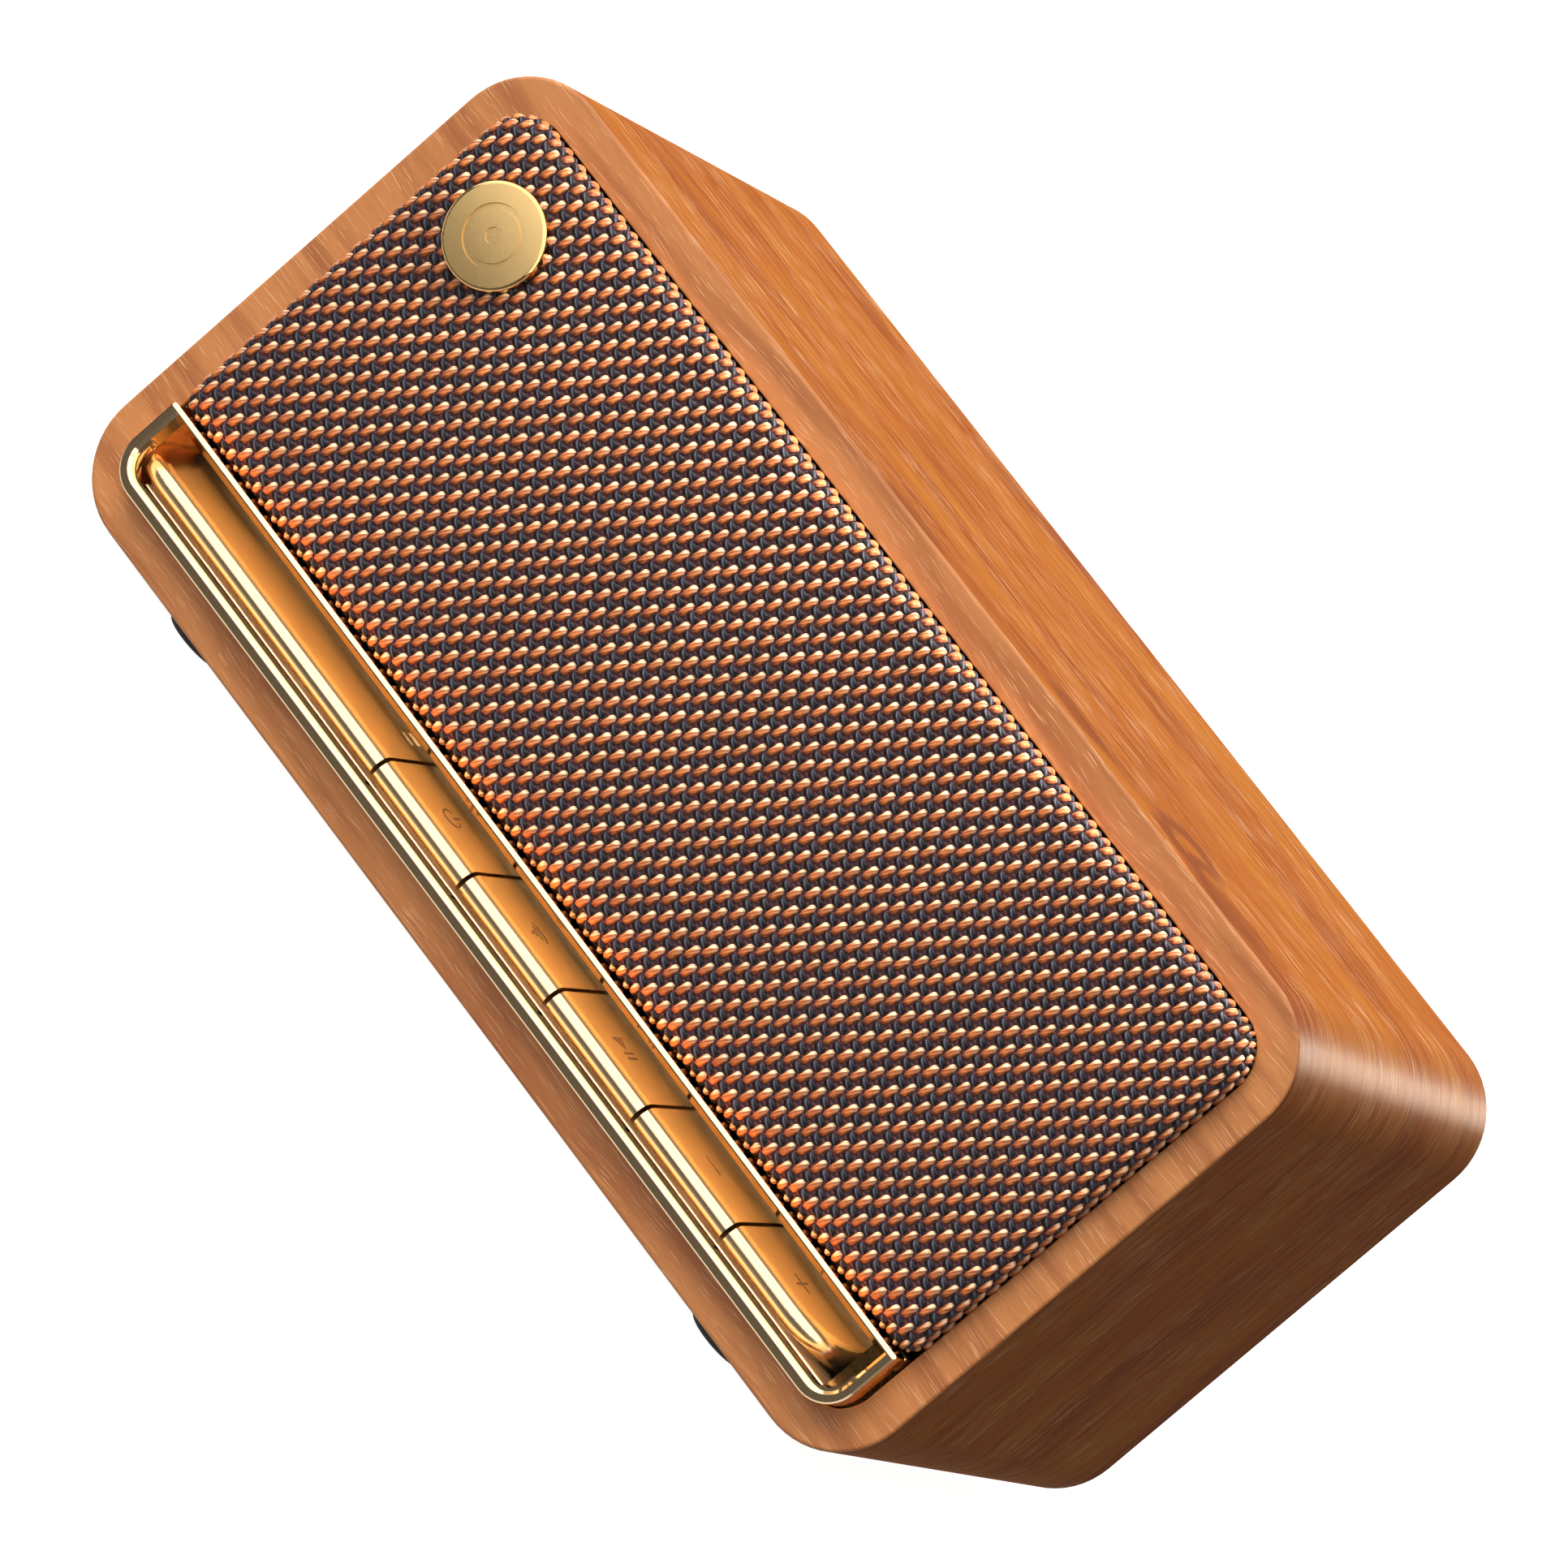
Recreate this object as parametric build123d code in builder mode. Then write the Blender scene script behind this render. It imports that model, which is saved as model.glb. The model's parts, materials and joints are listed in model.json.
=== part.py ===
from build123d import *
import os
from math import cos, radians, sin, tan

os.makedirs("parts", exist_ok=True)

# Portable radio speaker in a wooden case.
# +X is the listener's right, +Y runs to the back, +Z is up.
# The origin is at the centre of the footprint, on the surface that the feet stand on.
# A "depth" is measured back from the cabinet's front rim, a "height" up from the cabinet's underside.

# ---------------------------------------------------------------- driving dimensions (mm)
WIDTH = 162.0
HEIGHT = 79.8
DEPTH = 86.3
WALL = 5.2
OUTER_R = 11.2
INNER_R = 6.0
FOOT_H = 2.0
FOOT_R = 4.5
FOOT_X = 55.5
FOOT_INSET = 10.5
GAP = 0.3

CLOTH_AHEAD = 4.0
CLOTH_T = 0.85
CLOTH_LOW = 17.8
CLOTH_CROWN = 1.8
BADGE_AHEAD = 5.5
BADGE_R = 6.85
BADGE_X = -63.4
BADGE_H = 61.5

BEZEL_X = 75.25
BEZEL_LOW = 5.7
BEZEL_TOP = 17.5
BEZEL_AHEAD = 4.1
BEZEL_CORNER = 4.9
BEZEL_SIDE = 1.5
BEZEL_BACK = 14.0
CEILING = 15.45

NOSE_AHEAD = 2.4
NOSE_R = 1.67
KEY_TOP = 11.6
KEY_BOTTOM = 8.26
KEY_BACK = 13.6
KEY_SLOPE = 0.1
KEY_PITCH = 18.2
KEY_SPLIT = 0.6
FIRST_SPLIT = -23.05
BAR_LEFT = -75.4
KEYS_RIGHT = 70.0
AXLE_DEPTH = 18.0
AXLE_H = 9.8
AXLE_R = 1.0
ARM_W = 12.0
ARM_BACK = 28.5
ARM_LOW = 8.3
ARM_TOP = 11.3
KEY_NAMES = ["power", "wireless", "play", "minus", "plus"]

BAFFLE_FRONT = 8.0
BAFFLE_T = 3.0
DRIVER_X = 38.0
DRIVER_H = 46.4
DRIVER_R = 25.0

PANEL_FRONT = 82.5
PANEL_T = 2.5
RADIATOR_H = 47.0
RADIATOR_HOLE = (96.0, 36.0)

# ---------------------------------------------------------------- derived places
RIM_Y = (BADGE_AHEAD - DEPTH) / 2
INNER_X = WIDTH / 2 - WALL
INNER_LOW = WALL
INNER_TOP = HEIGHT - WALL
BAFFLE_BACK = BAFFLE_FRONT + BAFFLE_T
SPLITS = [FIRST_SPLIT + KEY_PITCH * i for i in range(len(KEY_NAMES))]


def y_at(depth):
    return RIM_Y + depth


def z_at(height):
    return FOOT_H + height


def facing_front(depth):
    """Sketch plane seen from the front: local x is X, local y is Z, extrude(-t) goes back."""
    return Plane.XZ.offset(-y_at(depth))


def block(x0, x1, d0, d1, h0, h1, mode=Mode.ADD):
    with Locations(((x0 + x1) / 2, y_at((d0 + d1) / 2), z_at((h0 + h1) / 2))):
        Box(x1 - x0, d1 - d0, h1 - h0, mode=mode)


def rod_back(x, height, d0, d1, radius, mode=Mode.ADD):
    """Cylinder along Y between two depths."""
    with Locations(Location((x, y_at((d0 + d1) / 2), z_at(height)), (90, 0, 0))):
        Cylinder(radius, d1 - d0, mode=mode)


def rod_across(x0, x1, depth, height, radius, mode=Mode.ADD):
    """Cylinder along X."""
    with Locations(Location(((x0 + x1) / 2, y_at(depth), z_at(height)), (0, 90, 0))):
        Cylinder(radius, x1 - x0, mode=mode)


def rod_up(x, depth, h0, h1, radius, mode=Mode.ADD):
    """Cylinder along Z between two heights."""
    with Locations((x, y_at(depth), z_at((h0 + h1) / 2))):
        Cylinder(radius, h1 - h0, mode=mode)


def screw_back(x, height, head_depth, length, shaft_r, head_r, head_t=1.2):
    """Screw pointing to the front: the head's outer face is at head_depth."""
    rod_back(x, height, head_depth - head_t, head_depth, head_r)
    rod_back(x, height, head_depth - head_t - length, head_depth - head_t, shaft_r)


def screw_front(x, height, head_depth, length, shaft_r, head_r, head_t=1.2):
    """Screw pointing to the back: the head's outer face is at head_depth."""
    rod_back(x, height, head_depth, head_depth + head_t, head_r)
    rod_back(x, height, head_depth + head_t, head_depth + head_t + length, shaft_r)


def save(part, name):
    part.label = name
    export_step(part, f"parts/{name}.step")


# ---------------------------------------------------------------- cabinet
def inner_outline(shrink):
    with Locations((0, z_at(HEIGHT / 2))):
        RectangleRounded(2 * (INNER_X - shrink), HEIGHT - 2 * (WALL + shrink), INNER_R - shrink)


with BuildPart() as cabinet:
    with BuildSketch(facing_front(0)):
        with Locations((0, z_at(HEIGHT / 2))):
            RectangleRounded(WIDTH, HEIGHT, OUTER_R)
            RectangleRounded(2 * INNER_X, HEIGHT - 2 * WALL, INNER_R, mode=Mode.SUBTRACT)
    extrude(amount=-DEPTH)
    front_rim = cabinet.faces().sort_by(Axis.Y)[0]
    fillet(front_rim.outer_wire().edges(), 0.5)
    rear_rim = cabinet.faces().sort_by(Axis.Y)[-1]
    fillet(rear_rim.outer_wire().edges(), 1.0)
save(cabinet.part, "cabinet")

CLEAT = 10.0
FRONT_CLEAT_H = [26.0, 69.6]
REAR_CLEAT_H = [10.2, 69.6]
CLEAT_X = INNER_X - CLEAT / 2
with BuildPart() as corner_cleats:
    for side in (-1, 1):
        x0, x1 = sorted((side * INNER_X, side * (INNER_X - CLEAT)))
        for height in FRONT_CLEAT_H:
            block(x0, x1, BAFFLE_BACK, BAFFLE_BACK + 12, height - CLEAT / 2, height + CLEAT / 2)
        for height in REAR_CLEAT_H:
            block(x0, x1, PANEL_FRONT - 12, PANEL_FRONT, height - CLEAT / 2, height + CLEAT / 2)
    for side in (-1, 1):
        for height in FRONT_CLEAT_H:
            rod_back(side * CLEAT_X, height, BAFFLE_BACK, BAFFLE_BACK + 9, 1.5, Mode.SUBTRACT)
        for height in REAR_CLEAT_H:
            rod_back(side * CLEAT_X, height, PANEL_FRONT - 9, PANEL_FRONT, 1.5, Mode.SUBTRACT)
    with BuildSketch(facing_front(BAFFLE_BACK)):
        inner_outline(0)
    extrude(amount=-(PANEL_FRONT - BAFFLE_BACK), mode=Mode.INTERSECT)
save(corner_cleats.part, "corner_cleats")

with BuildPart() as feet:
    for depth in (FOOT_INSET, DEPTH - FOOT_INSET):
        for side in (-1, 1):
            rod_up(side * FOOT_X, depth, -FOOT_H, 0, FOOT_R)
    fillet(feet.edges().group_by(Axis.Z)[0], 0.5)
save(feet.part, "feet")

# ---------------------------------------------------------------- baffle and grille
PEGS = [(-70.3, 38.0), (-70.3, 56.0), (70.3, 38.0), (70.3, 56.0), (0, 26.0), (0, 66.0)]
EAR_X = 59.5
EAR_SCREW_H = 23.0

with BuildPart() as front_baffle:
    with BuildSketch(facing_front(BAFFLE_FRONT)):
        with Locations((0, z_at((CLOTH_LOW + INNER_TOP) / 2))):
            RectangleRounded(2 * (INNER_X - GAP), INNER_TOP - CLOTH_LOW - 2 * GAP, INNER_R - GAP)
    extrude(amount=-BAFFLE_T)
    block(-INNER_X + GAP, INNER_X - GAP, BAFFLE_FRONT, BAFFLE_BACK, CLOTH_LOW + GAP, CLOTH_LOW + 8)
    for side in (-1, 1):
        rod_back(side * EAR_X, EAR_SCREW_H, BAFFLE_BACK, 14.3, 2.6)
        rod_back(side * DRIVER_X, DRIVER_H, BAFFLE_FRONT, BAFFLE_BACK, 22.4, Mode.SUBTRACT)
        rod_back(side * EAR_X, EAR_SCREW_H, BAFFLE_FRONT + 1, 14.3, 1.0, Mode.SUBTRACT)
        for height in FRONT_CLEAT_H:
            rod_back(side * CLEAT_X, height, BAFFLE_FRONT, BAFFLE_BACK, 1.7, Mode.SUBTRACT)
        for turn in range(4):
            angle = radians(45 + 90 * turn)
            screw_x = side * DRIVER_X + 23.6 * cos(angle)
            screw_h = DRIVER_H + 23.6 * sin(angle)
            rod_back(screw_x, screw_h, BAFFLE_FRONT, BAFFLE_BACK, 0.9, Mode.SUBTRACT)
    for x, height in PEGS:
        rod_back(x, height, BAFFLE_FRONT, BAFFLE_BACK, 2.05, Mode.SUBTRACT)
save(front_baffle.part, "front_baffle")

with BuildPart() as baffle_screws:
    for side in (-1, 1):
        for height in FRONT_CLEAT_H:
            screw_front(side * CLEAT_X, height, BAFFLE_FRONT - 1.2, 10, 1.5, 2.2)
save(baffle_screws.part, "baffle_screws")

CLOTH_X = INNER_X - 0.4
CLOTH_TOP = INNER_TOP - GAP
CLOTH_TOP_R = 5.6
CLOTH_LOW_R = 2.0
FRAME_IN = CLOTH_T + 0.05
FRAME_T = 1.6
FRAME_FRONT = -CLOTH_AHEAD + CLOTH_T


def grille_outline(inset):
    """Grille outline with large top corners and small bottom corners."""
    left, right = -CLOTH_X + inset, CLOTH_X - inset
    low, top = z_at(CLOTH_LOW + inset), z_at(CLOTH_TOP - inset)
    with BuildLine() as outline:
        FilletPolyline(
            (left, low), (right, low), (right, top), (left, top),
            radius=[CLOTH_LOW_R - inset * 0.7, CLOTH_LOW_R - inset * 0.7,
                    CLOTH_TOP_R - inset, CLOTH_TOP_R - inset],
            close=True,
        )
    make_face(outline.edges())


with BuildPart() as grille_cloth:
    with BuildSketch(facing_front(-CLOTH_AHEAD)):
        grille_outline(0)
    extrude(amount=-(CLOTH_AHEAD + 7.5))
    fillet(grille_cloth.faces().sort_by(Axis.Y)[0].edges(), CLOTH_CROWN)
    with BuildSketch(facing_front(FRAME_FRONT)):
        grille_outline(CLOTH_T)
    extrude(amount=-(7.5 - FRAME_FRONT), mode=Mode.SUBTRACT)
    rod_back(BADGE_X, BADGE_H, -CLOTH_AHEAD, 0, 1.3, Mode.SUBTRACT)
save(grille_cloth.part, "grille_cloth")

SLOT_W = 3.6
SLOT_PITCH = 5.6
with BuildPart() as grille_frame:
    with BuildSketch(facing_front(FRAME_FRONT)):
        grille_outline(FRAME_IN)
    extrude(amount=-(BAFFLE_FRONT - FRAME_FRONT))
    fillet(grille_frame.faces().sort_by(Axis.Y)[0].edges(), 0.8)
    with BuildSketch(facing_front(FRAME_FRONT + FRAME_T)):
        grille_outline(FRAME_IN + FRAME_T * 0.55)
    extrude(amount=-(BAFFLE_FRONT - FRAME_FRONT - FRAME_T), mode=Mode.SUBTRACT)
    with BuildSketch(facing_front(FRAME_FRONT)):
        for side in (-1, 1):
            for i in range(-3, 4):
                reach = (22.0**2 - (i * SLOT_PITCH) ** 2) ** 0.5
                with Locations((side * DRIVER_X + i * SLOT_PITCH, z_at(DRIVER_H))):
                    SlotOverall(2 * reach, SLOT_W, rotation=90)
    extrude(amount=-FRAME_T, mode=Mode.SUBTRACT)
    for x, height in PEGS:
        rod_back(x, height, FRAME_FRONT + FRAME_T, BAFFLE_BACK - 0.2, 2.0)
    rod_back(BADGE_X, BADGE_H, FRAME_FRONT, FRAME_FRONT + FRAME_T, 1.25, Mode.SUBTRACT)
save(grille_frame.part, "grille_frame")

with BuildPart() as grille_badge:
    rod_back(BADGE_X, BADGE_H, -BADGE_AHEAD, -CLOTH_AHEAD, BADGE_R)
    fillet(grille_badge.edges().group_by(Axis.Y)[0], 0.3)
    rod_back(BADGE_X, BADGE_H, -CLOTH_AHEAD, 1.0, 1.2)
    with BuildSketch(facing_front(-BADGE_AHEAD)):
        with Locations((BADGE_X, z_at(BADGE_H))):
            Circle(4.1)
            Circle(3.4, mode=Mode.SUBTRACT)
            Circle(1.1)
    extrude(amount=-0.2, mode=Mode.SUBTRACT)
save(grille_badge.part, "grille_badge")

with BuildPart() as badge_clip:
    rod_back(BADGE_X, BADGE_H, FRAME_FRONT + FRAME_T, FRAME_FRONT + FRAME_T + 0.6, 3.2)
    rod_back(BADGE_X, BADGE_H, FRAME_FRONT + FRAME_T, FRAME_FRONT + FRAME_T + 0.6, 1.2, Mode.SUBTRACT)
save(badge_clip.part, "badge_clip")


# ---------------------------------------------------------------- key bezel
def bezel_outline(x_inset, low_inset, top, corner):
    """U-shaped outline: round bottom corners, nearly sharp top corners."""
    x = BEZEL_X - x_inset
    low = z_at(BEZEL_LOW + low_inset)
    with BuildLine() as outline:
        FilletPolyline((-x, low), (x, low), (x, z_at(top)), (-x, z_at(top)),
                       radius=[corner, corner, 0.3, 0.3], close=True)
    make_face(outline.edges())


MOUTH_LOW = 1.65
STEP_IN = 0.4
RING_BACK = -0.4
LIP_EDGE = 16.8
TOP_CHAMFER = 0.5
with BuildPart() as key_bezel:
    with BuildSketch(facing_front(-BEZEL_AHEAD)):
        bezel_outline(0, 0, BEZEL_TOP, BEZEL_CORNER)
    extrude(amount=-(BEZEL_AHEAD + RING_BACK))
    front_edges = key_bezel.faces().sort_by(Axis.Y)[0].edges()
    chamfer(front_edges.filter_by(lambda e: e.center().Z < z_at(BEZEL_TOP - 0.2)), 0.2)
    with BuildSketch(Plane.YZ.offset(-BEZEL_X)):
        with BuildLine():
            Polyline((y_at(-BEZEL_AHEAD), z_at(BEZEL_TOP - TOP_CHAMFER)),
                     (y_at(TOP_CHAMFER - BEZEL_AHEAD), z_at(BEZEL_TOP)),
                     (y_at(-BEZEL_AHEAD), z_at(BEZEL_TOP)), close=True)
        make_face()
    extrude(amount=2 * BEZEL_X, mode=Mode.SUBTRACT)
    with BuildSketch(facing_front(-BEZEL_AHEAD)):
        bezel_outline(BEZEL_SIDE, MOUTH_LOW, CEILING - 0.5, BEZEL_CORNER - MOUTH_LOW)
    extrude(amount=-0.9, mode=Mode.SUBTRACT)
    with BuildSketch(facing_front(-BEZEL_AHEAD)):
        bezel_outline(BEZEL_SIDE + STEP_IN, MOUTH_LOW + STEP_IN, CEILING - 0.5,
                      BEZEL_CORNER - MOUTH_LOW - STEP_IN)
    extrude(amount=-(BEZEL_AHEAD - 1.7), mode=Mode.SUBTRACT)
    with BuildSketch(facing_front(-1.7)):
        bezel_outline(BEZEL_SIDE, 0.8, CEILING - 0.5, BEZEL_CORNER - 1.5)
    extrude(amount=-1.3, mode=Mode.SUBTRACT)
    with BuildSketch(Plane.YZ.offset(-BEZEL_X + BEZEL_SIDE)):
        with BuildLine():
            Polyline((y_at(-BEZEL_AHEAD), z_at(LIP_EDGE)), (y_at(RING_BACK), z_at(CEILING)),
                     (y_at(RING_BACK), z_at(12)), (y_at(-BEZEL_AHEAD), z_at(12)), close=True)
        make_face()
    extrude(amount=2 * (BEZEL_X - BEZEL_SIDE), mode=Mode.SUBTRACT)
    inner_front = key_bezel.faces().sort_by(Axis.Y)[0].inner_wires()
    if inner_front:
        mouth = inner_front[0].edges().filter_by(lambda e: e.center().Z < z_at(CEILING - 0.5))
        chamfer(mouth, 0.45)
    block(-BEZEL_X, BEZEL_X, RING_BACK, 1.6, CEILING, BEZEL_TOP)
    block(-73.4, 73.4, 1.6, BEZEL_BACK, CEILING, 16.6)
    block(-70, 70, RING_BACK, BEZEL_BACK, BEZEL_LOW, BEZEL_LOW + 0.8)
save(key_bezel.part, "key_bezel")

# ---------------------------------------------------------------- keys and name bar
NOSE_DEPTH = NOSE_R - NOSE_AHEAD


def top_height(depth):
    return KEY_TOP + KEY_SLOPE * (depth - NOSE_DEPTH)


def key_cap(x0, x1, left_r=0.0, right_r=0.0):
    """Bar with a round nose and a gently rising top, its end corners rounded in plan."""
    profile = [(-NOSE_AHEAD, KEY_BOTTOM), (-NOSE_AHEAD, top_height(-NOSE_AHEAD)),
               (KEY_BACK, top_height(KEY_BACK)), (KEY_BACK, KEY_BOTTOM)]
    with BuildSketch(Plane.YZ.offset(x0)) as side_view:
        with BuildLine():
            Polyline(*[(y_at(d), z_at(h)) for d, h in profile], close=True)
        make_face()
    extrude(side_view.sketch, amount=x1 - x0)
    if left_r or right_r:
        with BuildSketch(Plane.XY.offset(z_at(KEY_BOTTOM - 1))) as plan:
            with Locations(((x0 + x1) / 2, y_at((KEY_BACK - NOSE_AHEAD) / 2))):
                Rectangle(x1 - x0, KEY_BACK + NOSE_AHEAD)
            front_corners = plan.vertices().group_by(Axis.Y)[0].sort_by(Axis.X)
            if left_r:
                fillet(front_corners[0], left_r)
            if right_r:
                fillet(front_corners[-1], right_r)
        extrude(plan.sketch, amount=8, mode=Mode.INTERSECT)


def round_nose(cap, x0, x1, left_end, right_end):
    """Round the top and bottom edges of the nose and of the free ends."""
    def is_outer(edge):
        centre = edge.center()
        level = abs(edge.tangent_at(0.5).Z) < 0.5
        behind = centre.Y > y_at(KEY_BACK - 0.1)
        at_left = centre.X < x0 + 0.01 and not left_end
        at_right = centre.X > x1 - 0.01 and not right_end
        return level and not behind and not at_left and not at_right

    fillet(cap.edges().filter_by(is_outer), NOSE_R - 0.03)


def key_arm(x0, x1):
    block(x0, x1, KEY_BACK - 2, ARM_BACK, ARM_LOW, ARM_TOP)
    rod_across(x0, x1, AXLE_DEPTH, AXLE_H, AXLE_R + 0.05, Mode.SUBTRACT)


LED_X = (-28.2, -26.0)
LED_DEPTHS = [(7.9, 9.05), (9.2, 11.1)]
with BuildPart() as name_bar:
    bar_right = SPLITS[0] - KEY_SPLIT / 2
    key_cap(BAR_LEFT, bar_right, left_r=6.6)
    round_nose(name_bar, BAR_LEFT, bar_right, True, False)
    for x0 in (-64.0, -38.0):
        block(x0, x0 + 8, KEY_BACK - 2, 22.0, ARM_LOW, ARM_TOP)
        rod_up(x0 + 4, 19.5, ARM_LOW - 1, ARM_TOP + 1, 1.1, Mode.SUBTRACT)
    for d0, d1 in LED_DEPTHS:
        block(LED_X[0], LED_X[1], d0, d1, KEY_BOTTOM - 1, 14, Mode.SUBTRACT)
save(name_bar.part, "name_bar")

with BuildPart() as led_window:
    for d0, d1 in LED_DEPTHS:
        block(LED_X[0], LED_X[1], d0, d1, KEY_BOTTOM, top_height(d0))
save(led_window.part, "led_window")

for index, key_name in enumerate(KEY_NAMES):
    left = SPLITS[index] + KEY_SPLIT / 2
    is_last = index == len(KEY_NAMES) - 1
    right = KEYS_RIGHT if is_last else SPLITS[index + 1] - KEY_SPLIT / 2
    arm_middle = SPLITS[index] + KEY_PITCH / 2
    with BuildPart() as key:
        key_cap(left, right, right_r=8.5 if is_last else 0)
        round_nose(key, left, right, False, is_last)
        key_arm(arm_middle - ARM_W / 2, arm_middle + ARM_W / 2)
    save(key.part, f"{key_name}_key")

# ---------------------------------------------------------------- key works
RIBS = SPLITS + [SPLITS[-1] + KEY_PITCH]
CHASSIS_FRONT = 14.3
CHASSIS_WALL = 1.2
BOARD_LOW = 12.9
BOARD_T = 1.2
DOME_DEPTH = 26.0
POSTS_X = [SPLITS[0], SPLITS[2], SPLITS[4] + KEY_PITCH]
with BuildPart() as key_chassis:
    block(-75.2, 75.2, CHASSIS_FRONT, CHASSIS_FRONT + CHASSIS_WALL, 5.5, 17.2)
    block(-72, 74, CHASSIS_FRONT, 32.0, 5.5, 6.5)
    block(70.6, 75.2, 2.2, CHASSIS_FRONT, 6.9, 15.1)
    for side in (-1, 1):
        block(side * EAR_X - 6, side * EAR_X + 6, CHASSIS_FRONT, CHASSIS_FRONT + CHASSIS_WALL, 17.0, 27.0)
        rod_back(side * EAR_X, EAR_SCREW_H, CHASSIS_FRONT, CHASSIS_FRONT + CHASSIS_WALL, 1.15, Mode.SUBTRACT)
    for index in range(len(KEY_NAMES)):
        middle = SPLITS[index] + KEY_PITCH / 2
        half = ARM_W / 2 + 0.4
        block(middle - half, middle + half, CHASSIS_FRONT, CHASSIS_FRONT + CHASSIS_WALL, 7.4, 12.2,
              Mode.SUBTRACT)
    for x0 in (-64.0, -38.0):
        block(x0 - 0.2, x0 + 8.2, CHASSIS_FRONT, CHASSIS_FRONT + CHASSIS_WALL, ARM_LOW, ARM_TOP + 0.2,
              Mode.SUBTRACT)
        rod_up(x0 + 4, 19.5, 6.5, ARM_LOW, 2.4)
        rod_up(x0 + 4, 19.5, 6.5, ARM_LOW, 0.9, Mode.SUBTRACT)
    for x in RIBS:
        block(x - 1.2, x + 1.2, CHASSIS_FRONT + CHASSIS_WALL, 20.5, 6.5, 12.2)
        rod_across(x - 1.2, x + 1.2, AXLE_DEPTH, AXLE_H, AXLE_R, Mode.SUBTRACT)
    for x in POSTS_X:
        rod_up(x, 29.0, 6.5, BOARD_LOW, 1.9)
        rod_up(x, 29.0, 8.5, BOARD_LOW, 0.9, Mode.SUBTRACT)
    with BuildSketch(facing_front(0)):
        inner_outline(0.25)
    extrude(amount=-40, mode=Mode.INTERSECT)
save(key_chassis.part, "key_chassis")

with BuildPart() as key_axle:
    rod_across(RIBS[0] - 1.2, RIBS[-1] + 1.2, AXLE_DEPTH, AXLE_H, AXLE_R)
    chamfer(key_axle.edges(), 0.2)
save(key_axle.part, "key_axle")

with BuildPart() as key_board:
    block(-27, 73, 21.5, 31.5, BOARD_LOW, BOARD_LOW + BOARD_T)
    block(24, 34, 25.5, 30.5, BOARD_LOW + BOARD_T, BOARD_LOW + BOARD_T + 1.6)
    for x in POSTS_X:
        rod_up(x, 29.0, BOARD_LOW, BOARD_LOW + BOARD_T, 1.15, Mode.SUBTRACT)
save(key_board.part, "key_board")

SWITCH = 4.5
SWITCH_T = 0.9
with BuildPart() as key_switches:
    for index in range(len(KEY_NAMES)):
        middle = SPLITS[index] + KEY_PITCH / 2
        block(middle - SWITCH / 2, middle + SWITCH / 2, DOME_DEPTH - SWITCH / 2, DOME_DEPTH + SWITCH / 2,
              BOARD_LOW - SWITCH_T, BOARD_LOW)
save(key_switches.part, "key_switches")

for index, key_name in enumerate(KEY_NAMES):
    middle = SPLITS[index] + KEY_PITCH / 2
    with BuildPart() as dome:
        rod_up(middle, DOME_DEPTH, ARM_TOP + 0.05, BOARD_LOW - SWITCH_T, 1.3)
        fillet(dome.edges().group_by(Axis.Z)[0], 0.25)
    save(dome.part, f"{key_name}_dome")

with BuildPart() as status_leds:
    block(-33, -21.5, 6.9, 13.2, 6.7, 7.3)
    for d0, d1 in LED_DEPTHS:
        block(LED_X[0] + 0.3, LED_X[1] - 0.3, d0 + 0.1, d1 - 0.1, 7.3, 7.9)
save(status_leds.part, "status_leds")

# ---------------------------------------------------------------- drivers
FLANGE_T = 1.5
GASKET_T = 0.5
SEAT = BAFFLE_FRONT - GASKET_T
DRIVER_SCREW_R = 23.6


def turned(side, points):
    """Closed (depth, radius) outline revolved about a driver's axis."""
    with BuildSketch(Plane.XY.offset(z_at(DRIVER_H))) as half:
        with BuildLine():
            Polyline(*[(side * DRIVER_X + r, y_at(d)) for d, r in points], close=True)
        make_face()
    revolve(half.sketch, axis=Axis((side * DRIVER_X, 0, z_at(DRIVER_H)), (0, 1, 0)))


def driver_holes(side, d0, d1, radius):
    for turn in range(4):
        angle = radians(45 + 90 * turn)
        x = side * DRIVER_X + DRIVER_SCREW_R * cos(angle)
        height = DRIVER_H + DRIVER_SCREW_R * sin(angle)
        rod_back(x, height, d0, d1, radius, Mode.SUBTRACT)


basket_points = [(SEAT - FLANGE_T, 20.4), (SEAT - FLANGE_T, DRIVER_R), (SEAT, DRIVER_R), (SEAT, 22.0),
                 (18.0, 18.6), (23.0, 16.4), (23.0, 10.0), (22.0, 10.0), (22.0, 15.6), (18.0, 16.9),
                 (SEAT, 20.4)]
magnet_points = [(23.0, 8.5), (23.0, 15.0), (25.0, 15.0), (25.0, 16.2), (31.5, 16.2), (31.5, 14.6),
                 (34.0, 14.6), (34.0, 0.0), (23.0, 0.0), (23.0, 7.0), (31.0, 7.0), (31.0, 8.5)]
cone_points = [(8.2, 16.4), (8.2, 17.0), (14.6, 8.1), (27.0, 8.1), (27.0, 7.6), (13.4, 7.6), (12.3, 6.0),
               (11.4, 3.0), (11.1, 0.0), (10.7, 0.0), (11.0, 3.1), (11.9, 6.2), (13.2, 7.9), (13.8, 8.0)]
surround_points = [(8.1, 15.6), (8.1, 16.9), (6.9, 17.4), (6.3, 18.6), (6.9, 19.8), (7.5, 20.35),
                   (6.9, 20.35), (6.1, 19.9), (5.5, 18.6), (6.3, 16.9), (7.5, 15.6)]
spider_points = [(17.0, 8.2), (17.0, 10.0), (16.4, 11.0), (17.0, 12.0), (16.4, 13.0), (17.0, 14.0),
                 (17.0, 16.4), (17.4, 16.4), (17.4, 13.9), (16.9, 13.0), (17.4, 12.0), (16.9, 11.0),
                 (17.4, 10.1), (17.4, 8.2)]

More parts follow.
